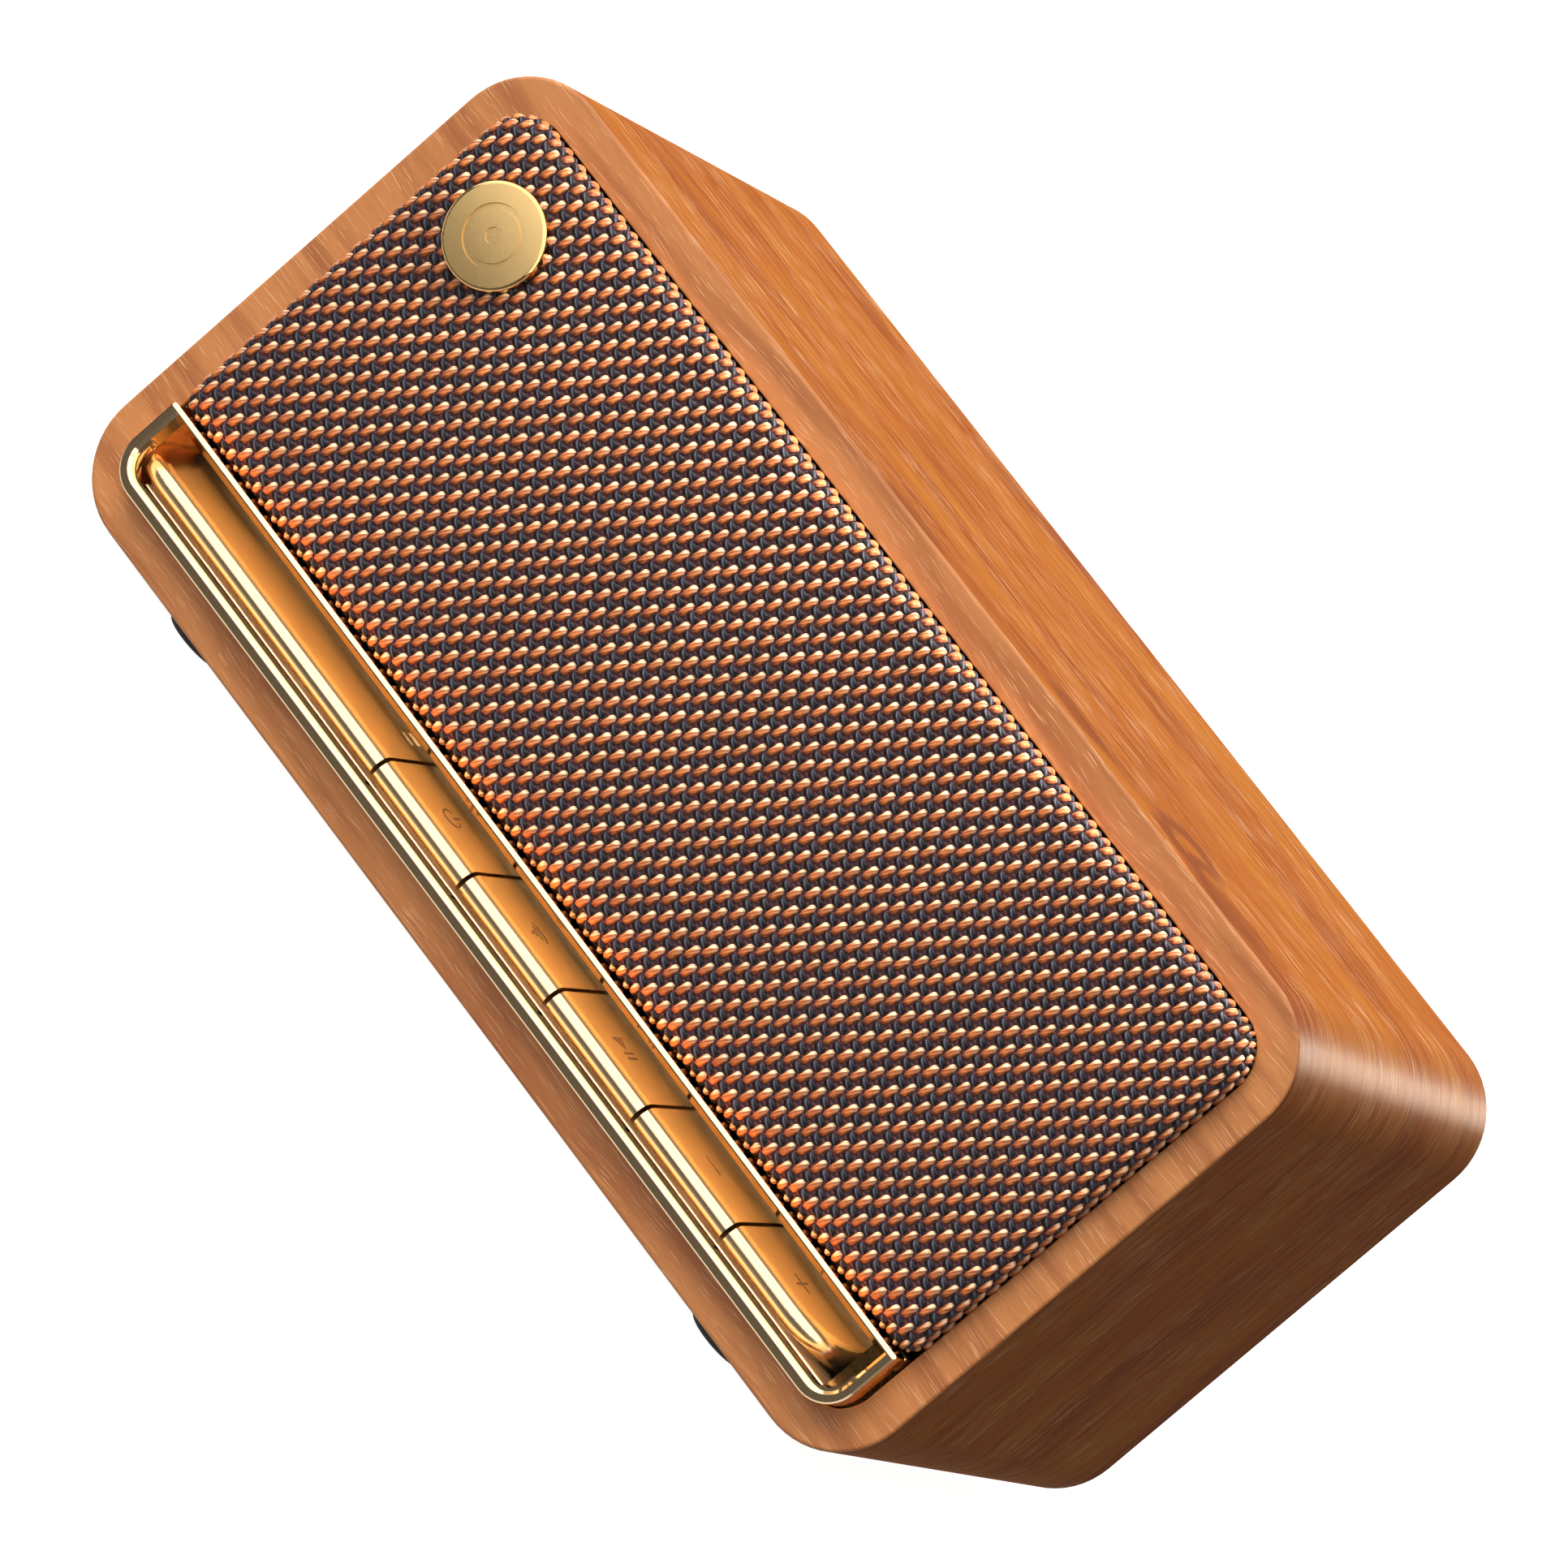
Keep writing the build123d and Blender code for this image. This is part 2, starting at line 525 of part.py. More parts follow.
for side, label in ((-1, "left"), (1, "right")):
    with BuildPart() as basket:
        turned(side, basket_points)
        driver_holes(side, SEAT - FLANGE_T, SEAT, 1.2)
        for turn in range(4):
            angle = radians(90 * turn)
            window_x = side * DRIVER_X + 19 * cos(angle)
            window_h = DRIVER_H + 19 * sin(angle)
            rod_back(window_x, window_h, 10.0, 16.0, 6.5, Mode.SUBTRACT)
    save(basket.part, f"driver_basket_{label}")
    with BuildPart() as magnet:
        turned(side, magnet_points)
    save(magnet.part, f"driver_magnet_{label}")
    with BuildPart() as cone:
        turned(side, cone_points)
    save(cone.part, f"driver_cone_{label}")
    with BuildPart() as surround:
        turned(side, surround_points)
    save(surround.part, f"driver_surround_{label}")
    with BuildPart() as spider:
        turned(side, spider_points)
    save(spider.part, f"driver_spider_{label}")

with BuildPart() as driver_gaskets:
    for side in (-1, 1):
        rod_back(side * DRIVER_X, DRIVER_H, SEAT, BAFFLE_FRONT, DRIVER_R)
        rod_back(side * DRIVER_X, DRIVER_H, SEAT, BAFFLE_FRONT, 22.4, Mode.SUBTRACT)
        driver_holes(side, SEAT, BAFFLE_FRONT, 1.0)
save(driver_gaskets.part, "driver_gaskets")

with BuildPart() as driver_screws:
    for side in (-1, 1):
        for turn in range(4):
            angle = radians(45 + 90 * turn)
            x = side * DRIVER_X + DRIVER_SCREW_R * cos(angle)
            height = DRIVER_H + DRIVER_SCREW_R * sin(angle)
            screw_front(x, height, SEAT - FLANGE_T - 0.9, 4.8, 0.9, 1.3, head_t=0.9)
save(driver_screws.part, "driver_screws")

# ---------------------------------------------------------------- rear panel and passive radiator
HOLE_W, HOLE_H = RADIATOR_HOLE
GUARD_W, GUARD_H, GUARD_T = 105.4, 45.4, 0.8
RING_FRONT = 79.5
PORT_H = 14.4
USB_X, AUX_X, CARD_X = 52.0, 38.5, 24.5
BOARD_SCREWS_X = (13.5, 61.5)
MAIN_LOW = 11.0
MAIN_T = 1.6
MAIN_TOP = MAIN_LOW + MAIN_T
SCREWS_RADIATOR = [(-53.0, RADIATOR_H), (53.0, RADIATOR_H), (-26.0, RADIATOR_H - 20.4),
                   (26.0, RADIATOR_H - 20.4), (-26.0, RADIATOR_H + 20.4), (26.0, RADIATOR_H + 20.4)]


def racetrack(depth, thickness, width, height, mode=Mode.ADD):
    """Plate with round ends, centred on the radiator, its front face at the given depth."""
    with BuildSketch(facing_front(depth)) as outline:
        with Locations((0, z_at(RADIATOR_H))):
            SlotOverall(width, height)
    extrude(outline.sketch, amount=-thickness, mode=mode)


with BuildPart() as rear_panel:
    with BuildSketch(facing_front(PANEL_FRONT)):
        inner_outline(GAP)
    extrude(amount=-PANEL_T)
    block(11, 65, 76.5, PANEL_FRONT, 9.2, 11.0)
    racetrack(PANEL_FRONT, PANEL_T, HOLE_W, HOLE_H, Mode.SUBTRACT)
    racetrack(PANEL_FRONT + PANEL_T - GUARD_T, GUARD_T, GUARD_W + 0.6, GUARD_H + 0.6, Mode.SUBTRACT)
    for side in (-1, 1):
        for height in REAR_CLEAT_H:
            rod_back(side * CLEAT_X, height, PANEL_FRONT, PANEL_FRONT + PANEL_T, 1.7, Mode.SUBTRACT)
            rod_back(side * CLEAT_X, height, PANEL_FRONT + PANEL_T - 1.2, PANEL_FRONT + PANEL_T, 2.9,
                     Mode.SUBTRACT)
    block(USB_X - 4.7, USB_X + 4.7, PANEL_FRONT, PANEL_FRONT + PANEL_T, PORT_H - 1.85, PORT_H + 1.85,
          Mode.SUBTRACT)
    rod_back(AUX_X, PORT_H + 0.8, PANEL_FRONT, PANEL_FRONT + PANEL_T, 3.1, Mode.SUBTRACT)
    block(CARD_X - 6.4, CARD_X + 6.4, PANEL_FRONT, PANEL_FRONT + PANEL_T, MAIN_TOP - 0.3, MAIN_TOP + 2.3,
          Mode.SUBTRACT)
    for x in BOARD_SCREWS_X:
        rod_up(x, 78.5, 9.2, 11.0, 0.9, Mode.SUBTRACT)
save(rear_panel.part, "rear_panel")

with BuildPart() as rear_panel_screws:
    for side in (-1, 1):
        for height in REAR_CLEAT_H:
            screw_back(side * CLEAT_X, height, PANEL_FRONT + PANEL_T - 0.2, 9.5, 1.5, 2.7, head_t=1.0)
    with BuildSketch(facing_front(PANEL_FRONT + PANEL_T - 0.2)):
        for side in (-1, 1):
            for height in REAR_CLEAT_H:
                with Locations((side * CLEAT_X, z_at(height))):
                    Rectangle(3.0, 0.6)
                    Rectangle(0.6, 3.0)
    extrude(amount=0.6, mode=Mode.SUBTRACT)
save(rear_panel_screws.part, "rear_panel_screws")

with BuildPart() as radiator_frame:
    racetrack(RING_FRONT, PANEL_FRONT - RING_FRONT, 112.0, 46.5)
    racetrack(RING_FRONT, PANEL_FRONT - RING_FRONT, HOLE_W, HOLE_H, Mode.SUBTRACT)
    for x, height in SCREWS_RADIATOR:
        rod_back(x, height, RING_FRONT, PANEL_FRONT, 1.15, Mode.SUBTRACT)
save(radiator_frame.part, "radiator_frame")

PLATE_W, PLATE_H = 80.0, 20.0
PLATE_FRONT, PLATE_T = 79.0, 2.4
ROLL_FRONT = 81.0
ROLL_R = (HOLE_H - PLATE_H) / 4
with BuildPart() as radiator_surround:
    with BuildSketch(facing_front(ROLL_FRONT), mode=Mode.PRIVATE) as roll_line:
        with Locations((0, z_at(RADIATOR_H))):
            SlotOverall(PLATE_W + 2 * ROLL_R, PLATE_H + 2 * ROLL_R)
    roll_path = roll_line.sketch.face().outer_wire()
    start = roll_path @ 0
    with BuildSketch(Plane(origin=start, x_dir=(0, 1, 0), z_dir=roll_path % 0)):
        with BuildLine():
            CenterArc((0, 0), ROLL_R - 0.05, 90, 180)
            CenterArc((0, 0), ROLL_R - 0.75, 90, 180)
            Line((0, ROLL_R - 0.05), (0, ROLL_R - 0.75))
            Line((0, -ROLL_R + 0.05), (0, -ROLL_R + 0.75))
        make_face()
    sweep(path=roll_path)
save(radiator_surround.part, "radiator_surround")

with BuildPart() as radiator_plate:
    racetrack(PLATE_FRONT, PLATE_T, PLATE_W, PLATE_H)
    chamfer(radiator_plate.faces().sort_by(Axis.Y)[-1].edges(), 0.5)
save(radiator_plate.part, "radiator_plate")

with BuildPart() as radiator_guard:
    racetrack(PANEL_FRONT + PANEL_T - GUARD_T, GUARD_T, GUARD_W, GUARD_H)
    with BuildSketch(facing_front(PANEL_FRONT + PANEL_T - GUARD_T)):
        with Locations((0, z_at(RADIATOR_H))):
            with GridLocations(4.6, 4.6, 21, 7):
                Circle(1.5)
            with GridLocations(4.6, 4.6, 20, 6):
                Circle(1.5)
    extrude(amount=-GUARD_T, mode=Mode.SUBTRACT)
save(radiator_guard.part, "radiator_guard")

# ---------------------------------------------------------------- electronics and battery
with BuildPart() as main_board:
    block(10, 65, 44, 81.5, MAIN_LOW, MAIN_TOP)
    block(12.5, 22.5, 45, 49, MAIN_TOP, MAIN_TOP + 2.0)
    block(24, 34, 45, 48.5, MAIN_TOP, MAIN_TOP + 2.0)
    block(36, 46, 45, 50, MAIN_TOP, MAIN_TOP + 5.0)
    for x in BOARD_SCREWS_X:
        rod_up(x, 78.5, MAIN_LOW, MAIN_TOP, 1.15, Mode.SUBTRACT)
        rod_up(x, 52.0, INNER_LOW, MAIN_LOW, 2.2)
save(main_board.part, "main_board")

with BuildPart() as heat_sink:
    block(44, 62, 54, 68, MAIN_TOP, MAIN_TOP + 1.2)
    for i in range(6):
        x = 44.4 + 3.4 * i
        block(x, x + 0.8, 54, 68, MAIN_TOP + 1.2, MAIN_TOP + 7.0)
save(heat_sink.part, "heat_sink")

with BuildPart() as capacitors:
    for x, depth in ((17, 56), (26, 56), (35, 58), (17, 66), (28, 67)):
        rod_up(x, depth, MAIN_TOP, MAIN_TOP + 7.5, 3.0)
    chamfer(capacitors.edges().group_by(Axis.Z)[-1], 0.4)
save(capacitors.part, "capacitors")

with BuildPart() as usb_c_socket:
    with BuildSketch(facing_front(77.0)):
        with Locations((USB_X, z_at(PORT_H))):
            SlotOverall(9.0, 3.3)
            SlotOverall(8.4, 2.7, mode=Mode.SUBTRACT)
    extrude(amount=-7.6)
    block(USB_X - 3.9, USB_X + 3.9, 75.6, 77.2, MAIN_TOP, PORT_H + 1.6)
    block(USB_X - 3.3, USB_X + 3.3, 76.5, 83.6, PORT_H - 0.35, PORT_H + 0.35)
save(usb_c_socket.part, "usb_c_socket")

AUX_BORE_R = 1.8
AUX_BORE = 13.0
AUX_MOUTH = 84.8
with BuildPart() as aux_jack:
    block(AUX_X - 3.2, AUX_X + 3.2, 70.5, 82.2, MAIN_TOP, MAIN_TOP + 5.4)
    rod_back(AUX_X, PORT_H + 0.8, 82.2, AUX_MOUTH, 2.9)
    rod_back(AUX_X, PORT_H + 0.8, AUX_MOUTH - AUX_BORE, AUX_MOUTH, AUX_BORE_R, Mode.SUBTRACT)
save(aux_jack.part, "aux_jack")

with BuildPart() as card_slot:
    block(CARD_X - 6.0, CARD_X + 6.0, 70.0, 84.2, MAIN_TOP, MAIN_TOP + 2.0)
    block(CARD_X - 5.6, CARD_X + 5.6, 71.0, 84.2, MAIN_TOP + 0.5, MAIN_TOP + 1.6, Mode.SUBTRACT)
save(card_slot.part, "card_slot")

CELL_R = 9.2
CELL_X = (-64.0, 1.0)
CELL_DEPTHS = (50.0, 69.5)
CELL_H = INNER_LOW + 1.5 + CELL_R
with BuildPart() as battery_cells:
    for depth in CELL_DEPTHS:
        rod_across(CELL_X[0], CELL_X[1], depth, CELL_H, CELL_R)
    fillet(battery_cells.edges(), 0.6)
save(battery_cells.part, "battery_cells")

with BuildPart() as battery_cradle:
    block(CELL_X[0] - 1.5, CELL_X[1] + 1.5, 39.5, 80.0, INNER_LOW, 14.0)
    for depth in CELL_DEPTHS:
        rod_across(CELL_X[0] - 0.1, CELL_X[1] + 0.1, depth, CELL_H, CELL_R + 0.05, Mode.SUBTRACT)
        block(CELL_X[0] - 0.1, CELL_X[1] + 0.1, depth - 6, depth + 6, CELL_H - 3, 14.0, Mode.SUBTRACT)
save(battery_cradle.part, "battery_cradle")

with BuildPart() as inner_screws:
    for side in (-1, 1):
        screw_back(side * EAR_X, EAR_SCREW_H, CHASSIS_FRONT + CHASSIS_WALL + 1.0, 4.5, 1.0, 1.9, head_t=1.0)
    for x, height in SCREWS_RADIATOR:
        rod_back(x, height, RING_FRONT - 1.0, RING_FRONT, 1.9)
        rod_back(x, height, RING_FRONT, PANEL_FRONT, 1.0)
    for x in POSTS_X:
        rod_up(x, 29.0, BOARD_LOW + BOARD_T, BOARD_LOW + BOARD_T + 1.0, 1.9)
        rod_up(x, 29.0, BOARD_LOW - 3.0, BOARD_LOW + BOARD_T, 0.9)
    for x in BOARD_SCREWS_X:
        rod_up(x, 78.5, MAIN_TOP, MAIN_TOP + 1.0, 1.9)
        rod_up(x, 78.5, 9.4, MAIN_TOP, 0.9)
    for x0 in (-64.0, -38.0):
        rod_up(x0 + 4, 19.5, ARM_TOP, ARM_TOP + 1.0, 1.9)
        rod_up(x0 + 4, 19.5, 7.0, ARM_TOP, 0.9)
save(inner_screws.part, "inner_screws")


# ---------------------------------------------------------------- leads inside the case
def lead(points, diameter):
    """Tube along straight runs joined by the largest tangent arcs that its runs allow."""
    places = [Vector(x, y_at(d), z_at(h)) for x, d, h in points]
    runs = [(b - a).length for a, b in zip(places, places[1:])]
    radii = []
    for i in range(1, len(places) - 1):
        turn = radians((places[i] - places[i - 1]).get_angle(places[i + 1] - places[i]))
        radii.append(0.45 * min(runs[i - 1], runs[i]) / tan(turn / 2))
    with BuildLine():
        path = FilletPolyline(*places, radius=radii)
    with BuildSketch(Plane(origin=path @ 0, z_dir=path % 0)) as section:
        Circle(diameter / 2)
    sweep(section.sketch, path=path)
    print("lead radii", [round(r, 1) for r in radii], "length", round(path.length, 1))


LEAD_D = 1.6
with BuildPart() as speaker_leads:
    lead([(-19.6, 22.6, 46.4), (-14, 24, 45), (-7, 28, 40.5), (-1, 33.5, 34), (4.5, 40, 27.5), (9, 44, 21.5),
          (12.5, 46.5, 17.8), (14.2, 47.0, 15.0)], LEAD_D)
    lead([(19.6, 22.6, 46.4), (17.0, 25, 43), (16.0, 30, 37), (17.0, 36, 30), (19.0, 41, 24),
          (20.0, 45, 19), (20.2, 47.0, 15.0)], LEAD_D)
save(speaker_leads.part, "speaker_leads")

with BuildPart() as battery_lead:
    lead([(1.5, 50.0, 15.9), (7, 50.6, 16.6), (13.5, 51, 18.4), (21, 51, 20.6), (29, 50.2, 22.2),
          (35.5, 48.8, 22.6), (39.5, 47.8, 21.0), (40.6, 47.5, 18.1)], LEAD_D)
save(battery_lead.part, "battery_lead")

with BuildPart() as key_ribbon:
    with BuildSketch(Plane.YZ.offset(25.0)):
        with BuildLine():
            FilletPolyline((y_at(30.5), z_at(15.2)), (y_at(33.5), z_at(15.2)), (y_at(37.5), z_at(19.0)),
                           (y_at(41.5), z_at(19.0)), (y_at(43.3), z_at(14.0)), (y_at(44.9), z_at(13.6)),
                           radius=[1.2, 2.0, 2.0, 0.8])
        trace(line_width=0.3)
    extrude(amount=8.0)
save(key_ribbon.part, "key_ribbon")
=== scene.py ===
import json
import math

import bmesh
import bpy
import numpy as np
from mathutils import Matrix, Vector
from mathutils.bvhtree import BVHTree

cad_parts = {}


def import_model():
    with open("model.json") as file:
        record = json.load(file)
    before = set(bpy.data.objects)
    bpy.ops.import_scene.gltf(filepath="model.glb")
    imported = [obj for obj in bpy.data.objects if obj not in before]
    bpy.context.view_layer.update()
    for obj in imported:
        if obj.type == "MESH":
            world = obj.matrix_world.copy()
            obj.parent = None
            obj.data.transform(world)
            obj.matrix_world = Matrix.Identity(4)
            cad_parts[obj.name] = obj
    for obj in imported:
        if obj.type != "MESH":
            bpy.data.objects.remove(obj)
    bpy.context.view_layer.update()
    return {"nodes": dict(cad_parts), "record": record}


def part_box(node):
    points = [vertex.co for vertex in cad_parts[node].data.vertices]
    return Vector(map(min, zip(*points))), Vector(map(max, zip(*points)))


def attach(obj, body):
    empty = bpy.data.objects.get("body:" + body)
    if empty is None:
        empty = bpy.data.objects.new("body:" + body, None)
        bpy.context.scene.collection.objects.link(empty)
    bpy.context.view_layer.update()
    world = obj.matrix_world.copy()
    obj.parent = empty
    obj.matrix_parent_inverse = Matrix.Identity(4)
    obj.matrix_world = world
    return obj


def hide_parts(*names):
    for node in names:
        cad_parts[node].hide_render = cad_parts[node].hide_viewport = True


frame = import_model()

# ---------------------------------------------------------------- places
# Lengths are in millimetres until they reach a mesh: x across, depth behind the cabinet's
# front rim, height above the cabinet's underside. Materials and lights work in metres.
MM = 0.001
CABINET_LOW, CABINET_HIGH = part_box("cabinet")
WIDTH, DEPTH, HEIGHT = ((CABINET_HIGH - CABINET_LOW) / MM)[:]
WALL = 5.2
OUTER_R = 11.2
BADGE_LOW, BADGE_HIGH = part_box("grille_badge")


def place(x, depth, height):
    """The point of the row frame, in metres, at these millimetres."""
    return Vector((x * MM, CABINET_LOW.y + depth * MM, CABINET_LOW.z + height * MM))


def local(point):
    """Millimetres across, behind the rim and above the underside, of a point in the row frame."""
    return point.x / MM, (point.y - CABINET_LOW.y) / MM, (point.z - CABINET_LOW.z) / MM


def link(name, mesh, *materials):
    obj = bpy.data.objects.new(name, mesh)
    bpy.context.scene.collection.objects.link(obj)
    for material in materials:
        mesh.materials.append(material)
    return obj


# ---------------------------------------------------------------- material helpers
class Graph:
    """A node tree under construction: short calls that add nodes and join them."""

    def __init__(self, tree):
        self.tree = tree

    def join(self, value, socket):
        """Give a socket a value, or join an output to it."""
        if isinstance(value, bpy.types.NodeSocket):
            self.tree.links.new(value, socket)
        else:
            socket.default_value = value

    def node(self, kind, inputs=(), **settings):
        node = self.tree.nodes.new("ShaderNode" + kind)
        for key, value in settings.items():
            setattr(node, key, value)
        for key, value in dict(inputs).items():
            self.join(value, node.inputs[key])
        return node

    def math(self, operation, a, b=0.0):
        return self.node("Math", {0: a, 1: b}, operation=operation).outputs[0]

    def span(self, value, low, high, to_low=0.0, to_high=1.0, kind="LINEAR"):
        """Carry one range of values to another, clamped at its ends."""
        inputs = {"Value": value, "From Min": low, "From Max": high,
                  "To Min": to_low, "To Max": to_high}
        return self.node("MapRange", inputs, interpolation_type=kind).outputs["Result"]

    def ramp(self, value, low, high, to_low=0.0, to_high=1.0):
        """The same with an eased start and end."""
        return self.span(value, low, high, to_low, to_high, "SMOOTHSTEP")

    def split(self, vector):
        return self.node("SeparateXYZ", {"Vector": vector}).outputs


class Paint(Graph):
    """A material under construction, round its Principled shader."""

    def __init__(self, name, colour=(0.5, 0.5, 0.5), rough=0.5, metal=0.0, **sockets):
        self.material = bpy.data.materials.new(name)
        self.material.use_nodes = True
        super().__init__(self.material.node_tree)
        self.shader = self.tree.nodes["Principled BSDF"]
        self.set("Base Color", (*colour, 1))
        self.set("Roughness", rough)
        self.set("Metallic", metal)
        for socket, value in sockets.items():
            self.set(socket.replace("_", " "), value)

    def set(self, socket, value):
        self.join(value, self.shader.inputs[socket])

    def where(self):
        """Position in the row frame, in metres."""
        return self.node("TexCoord").outputs["Object"]

    def uv(self, name):
        return self.node("UVMap", uv_map=name).outputs["UV"]

    def stretch(self, vector, scale, shift=(0, 0, 0)):
        inputs = {"Vector": vector, "Scale": scale, "Location": shift}
        return self.node("Mapping", inputs).outputs["Vector"]

    def moved(self, vector, axis, amount):
        """The vector with an amount added along one axis."""
        step = self.node("CombineXYZ", {axis: amount}).outputs[0]
        return self.node("VectorMath", {0: vector, 1: step}, operation="ADD").outputs[0]

    def noise(self, vector, scale=1.0, detail=3.0, rough=0.5):
        inputs = {"Vector": vector, "Scale": scale, "Detail": detail, "Roughness": rough}
        return self.node("TexNoise", inputs).outputs["Fac"]

    def mix(self, amount, a, b, blend="MIX"):
        a, b = [(*c, 1) if isinstance(c, tuple) and len(c) == 3 else c for c in (a, b)]
        inputs = {0: amount, 6: a, 7: b}
        return self.node("Mix", inputs, data_type="RGBA", blend_type=blend).outputs[2]

    def bump(self, height, strength, distance):
        inputs = {"Height": height, "Strength": strength, "Distance": distance}
        self.set("Normal", self.node("Bump", inputs).outputs["Normal"])


def grained(name, colour, other, size, rough, metal=0.0):
    """A moulded, cast or coated surface: two near tones, and a roughness and relief that vary."""
    spread = 0.12
    paint = Paint(name, colour, rough, metal)
    here = paint.where()
    broad = paint.noise(here, 0.12 / size, 2.0)
    fine = paint.noise(here, 1 / size, 3.0)
    paint.set("Base Color", paint.mix(paint.ramp(broad, 0.35, 0.65), colour, other))
    paint.set("Roughness", paint.ramp(fine, 0.3, 0.7, rough - spread / 2, rough + spread / 2))
    paint.bump(fine, 0.15, size * 0.3)
    return paint.material


def brushed(name, colour, rough, along=(1, 0, 0)):
    """Drawn or rolled metal, its fine lines running along one axis."""
    paint = Paint(name, colour, rough, 1.0)
    scale = [300 if a else 9000 for a in along]
    lines = paint.noise(paint.stretch(paint.where(), scale), 1.0, 2.0)
    paint.set("Roughness", paint.ramp(lines, 0.3, 0.7, rough * 0.7, rough * 1.4))
    paint.set("Base Color", paint.mix(lines, tuple(c * 0.85 for c in colour), colour))
    paint.bump(lines, 0.1, 0.00002)
    return paint.material


# ---------------------------------------------------------------- wood
VENEER_DARK = (0.34, 0.072, 0.010)
VENEER_MID = (0.56, 0.148, 0.014)
VENEER_LIGHT = (0.65, 0.215, 0.020)
FLECK = (0.90, 0.43, 0.19)
PORE = (0.20, 0.055, 0.015)
RIM_DARK = (0.33, 0.102, 0.024)
RIM_LIGHT = (0.52, 0.192, 0.052)
RIM_FLECK = (0.78, 0.42, 0.20)
STAIN = (0.22, 0.045, 0.012)
# Places and half sizes on the veneer's map, in millimetres along the grain and across it.
KNOT = ((46.5, 11.0), (4.6, 6.4))
STAINS = [((57.0, 6.5), (10.0, 5.0)), ((27.0, 6.0), (7.0, 4.5)), ((-4.0, 2.0), (8.0, 3.5))]
RAGGED = 1.6  # how far noise moves the outline of a knot or stain, in its own half sizes
WANDER = 7.0  # how far the grain strays sideways, in millimetres
PORE_DEPTH = 0.00006


def veneer():
    """Satin varnished veneer. Its map runs round the cabinet along the grain, in millimetres."""
    varnish = {"Specular_IOR_Level": 0.12, "Coat_Weight": 0.18, "Coat_Roughness": 0.22}
    paint = Paint("veneer", VENEER_MID, **varnish)
    grain = paint.uv("grain")
    along, across, _ = paint.split(grain)

    def reach(at, size, ragged):
        """How far out of an ellipse each point is, 1 at its ragged edge, and how far across it."""
        x = paint.math("DIVIDE", paint.math("SUBTRACT", along, at[0]), size[0])
        y = paint.math("DIVIDE", paint.math("SUBTRACT", across, at[1]), size[1])
        squares = paint.math("ADD", paint.math("MULTIPLY", x, x), paint.math("MULTIPLY", y, y))
        shift = paint.math("MULTIPLY", paint.math("SUBTRACT", ragged, 0.5), RAGGED)
        return paint.math("ADD", paint.math("SQRT", squares), shift), y

    rough_edge = paint.noise(paint.stretch(grain, (0.10, 0.25, 1), (4, 9, 0)), 1.0, 4.0, 0.65)
    knot, knot_y = reach(*KNOT, rough_edge)
    near = paint.ramp(knot, 0.4, 2.6, 1.0, 0.0)
    wavy = paint.noise(paint.stretch(grain, (0.013, 0.03, 1)), 1.0, 2.0)
    round_knot = paint.math("MULTIPLY", near, paint.math("MULTIPLY", knot_y, 3.0))
    push = paint.math("ADD", paint.math("MULTIPLY", wavy, WANDER), round_knot)
    waved = paint.moved(grain, "Y", push)

    clouds = paint.noise(paint.stretch(waved, (0.016, 0.06, 1), (3, 8, 0)), 1.0, 4.0, 0.6)
    streaks = paint.noise(paint.stretch(waved, (0.045, 0.60, 1)), 1.0, 5.0, 0.7)
    fine = paint.noise(paint.stretch(waved, (0.12, 2.0, 1)), 1.0, 4.0, 0.7)
    half_clouds = paint.math("MULTIPLY", clouds, 0.5)
    tone = paint.math("ADD", half_clouds, paint.math("MULTIPLY", streaks, 0.5))
    colour = paint.mix(paint.ramp(tone, 0.38, 0.52), VENEER_DARK, VENEER_MID)
    colour = paint.mix(paint.ramp(tone, 0.48, 0.62), colour, VENEER_LIGHT)
    colour = paint.mix(paint.ramp(fine, 0.52, 0.72, 0.0, 0.30), colour, VENEER_LIGHT)
    colour = paint.mix(paint.ramp(fine, 0.44, 0.28, 0.0, 0.50), colour, PORE)

    flecks = paint.noise(paint.stretch(waved, (0.15, 2.1, 1), (31, 7, 0)), 1.0, 1.0, 0.5)
    crowd = paint.noise(paint.stretch(waved, (0.030, 0.09, 1), (5, 3, 0)), 1.0, 2.0)
    crowded = paint.ramp(crowd, 0.38, 0.60, 0.14, 0.80)
    shown = paint.math("MULTIPLY", paint.ramp(flecks, 0.56, 0.62), crowded)
    colour = paint.mix(shown, colour, FLECK)

    ring = paint.ramp(knot, 0.85, 1.5, 0.85, 0.0)
    stain = paint.math("MULTIPLY", paint.ramp(knot, 0.25, 0.65), ring)
    for at, size in STAINS:
        patch, _ = reach(at, size, rough_edge)
        stain = paint.math("MAXIMUM", stain, paint.ramp(patch, 0.45, 1.15, 0.7, 0.0))
    stain = paint.math("MULTIPLY", stain, paint.ramp(streaks, 0.25, 0.55, 0.55, 1.0))
    colour = paint.mix(paint.math("MULTIPLY", stain, 0.85), colour, STAIN)

    paint.set("Base Color", colour)
    paint.set("Roughness", paint.ramp(fine, 0.3, 0.7, 0.50, 0.38))
    pores = paint.math("MULTIPLY", fine, 0.6)
    relief = paint.math("ADD", pores, paint.math("MULTIPLY", shown, -0.5))
    paint.bump(relief, 0.25, PORE_DEPTH)
    return paint.material


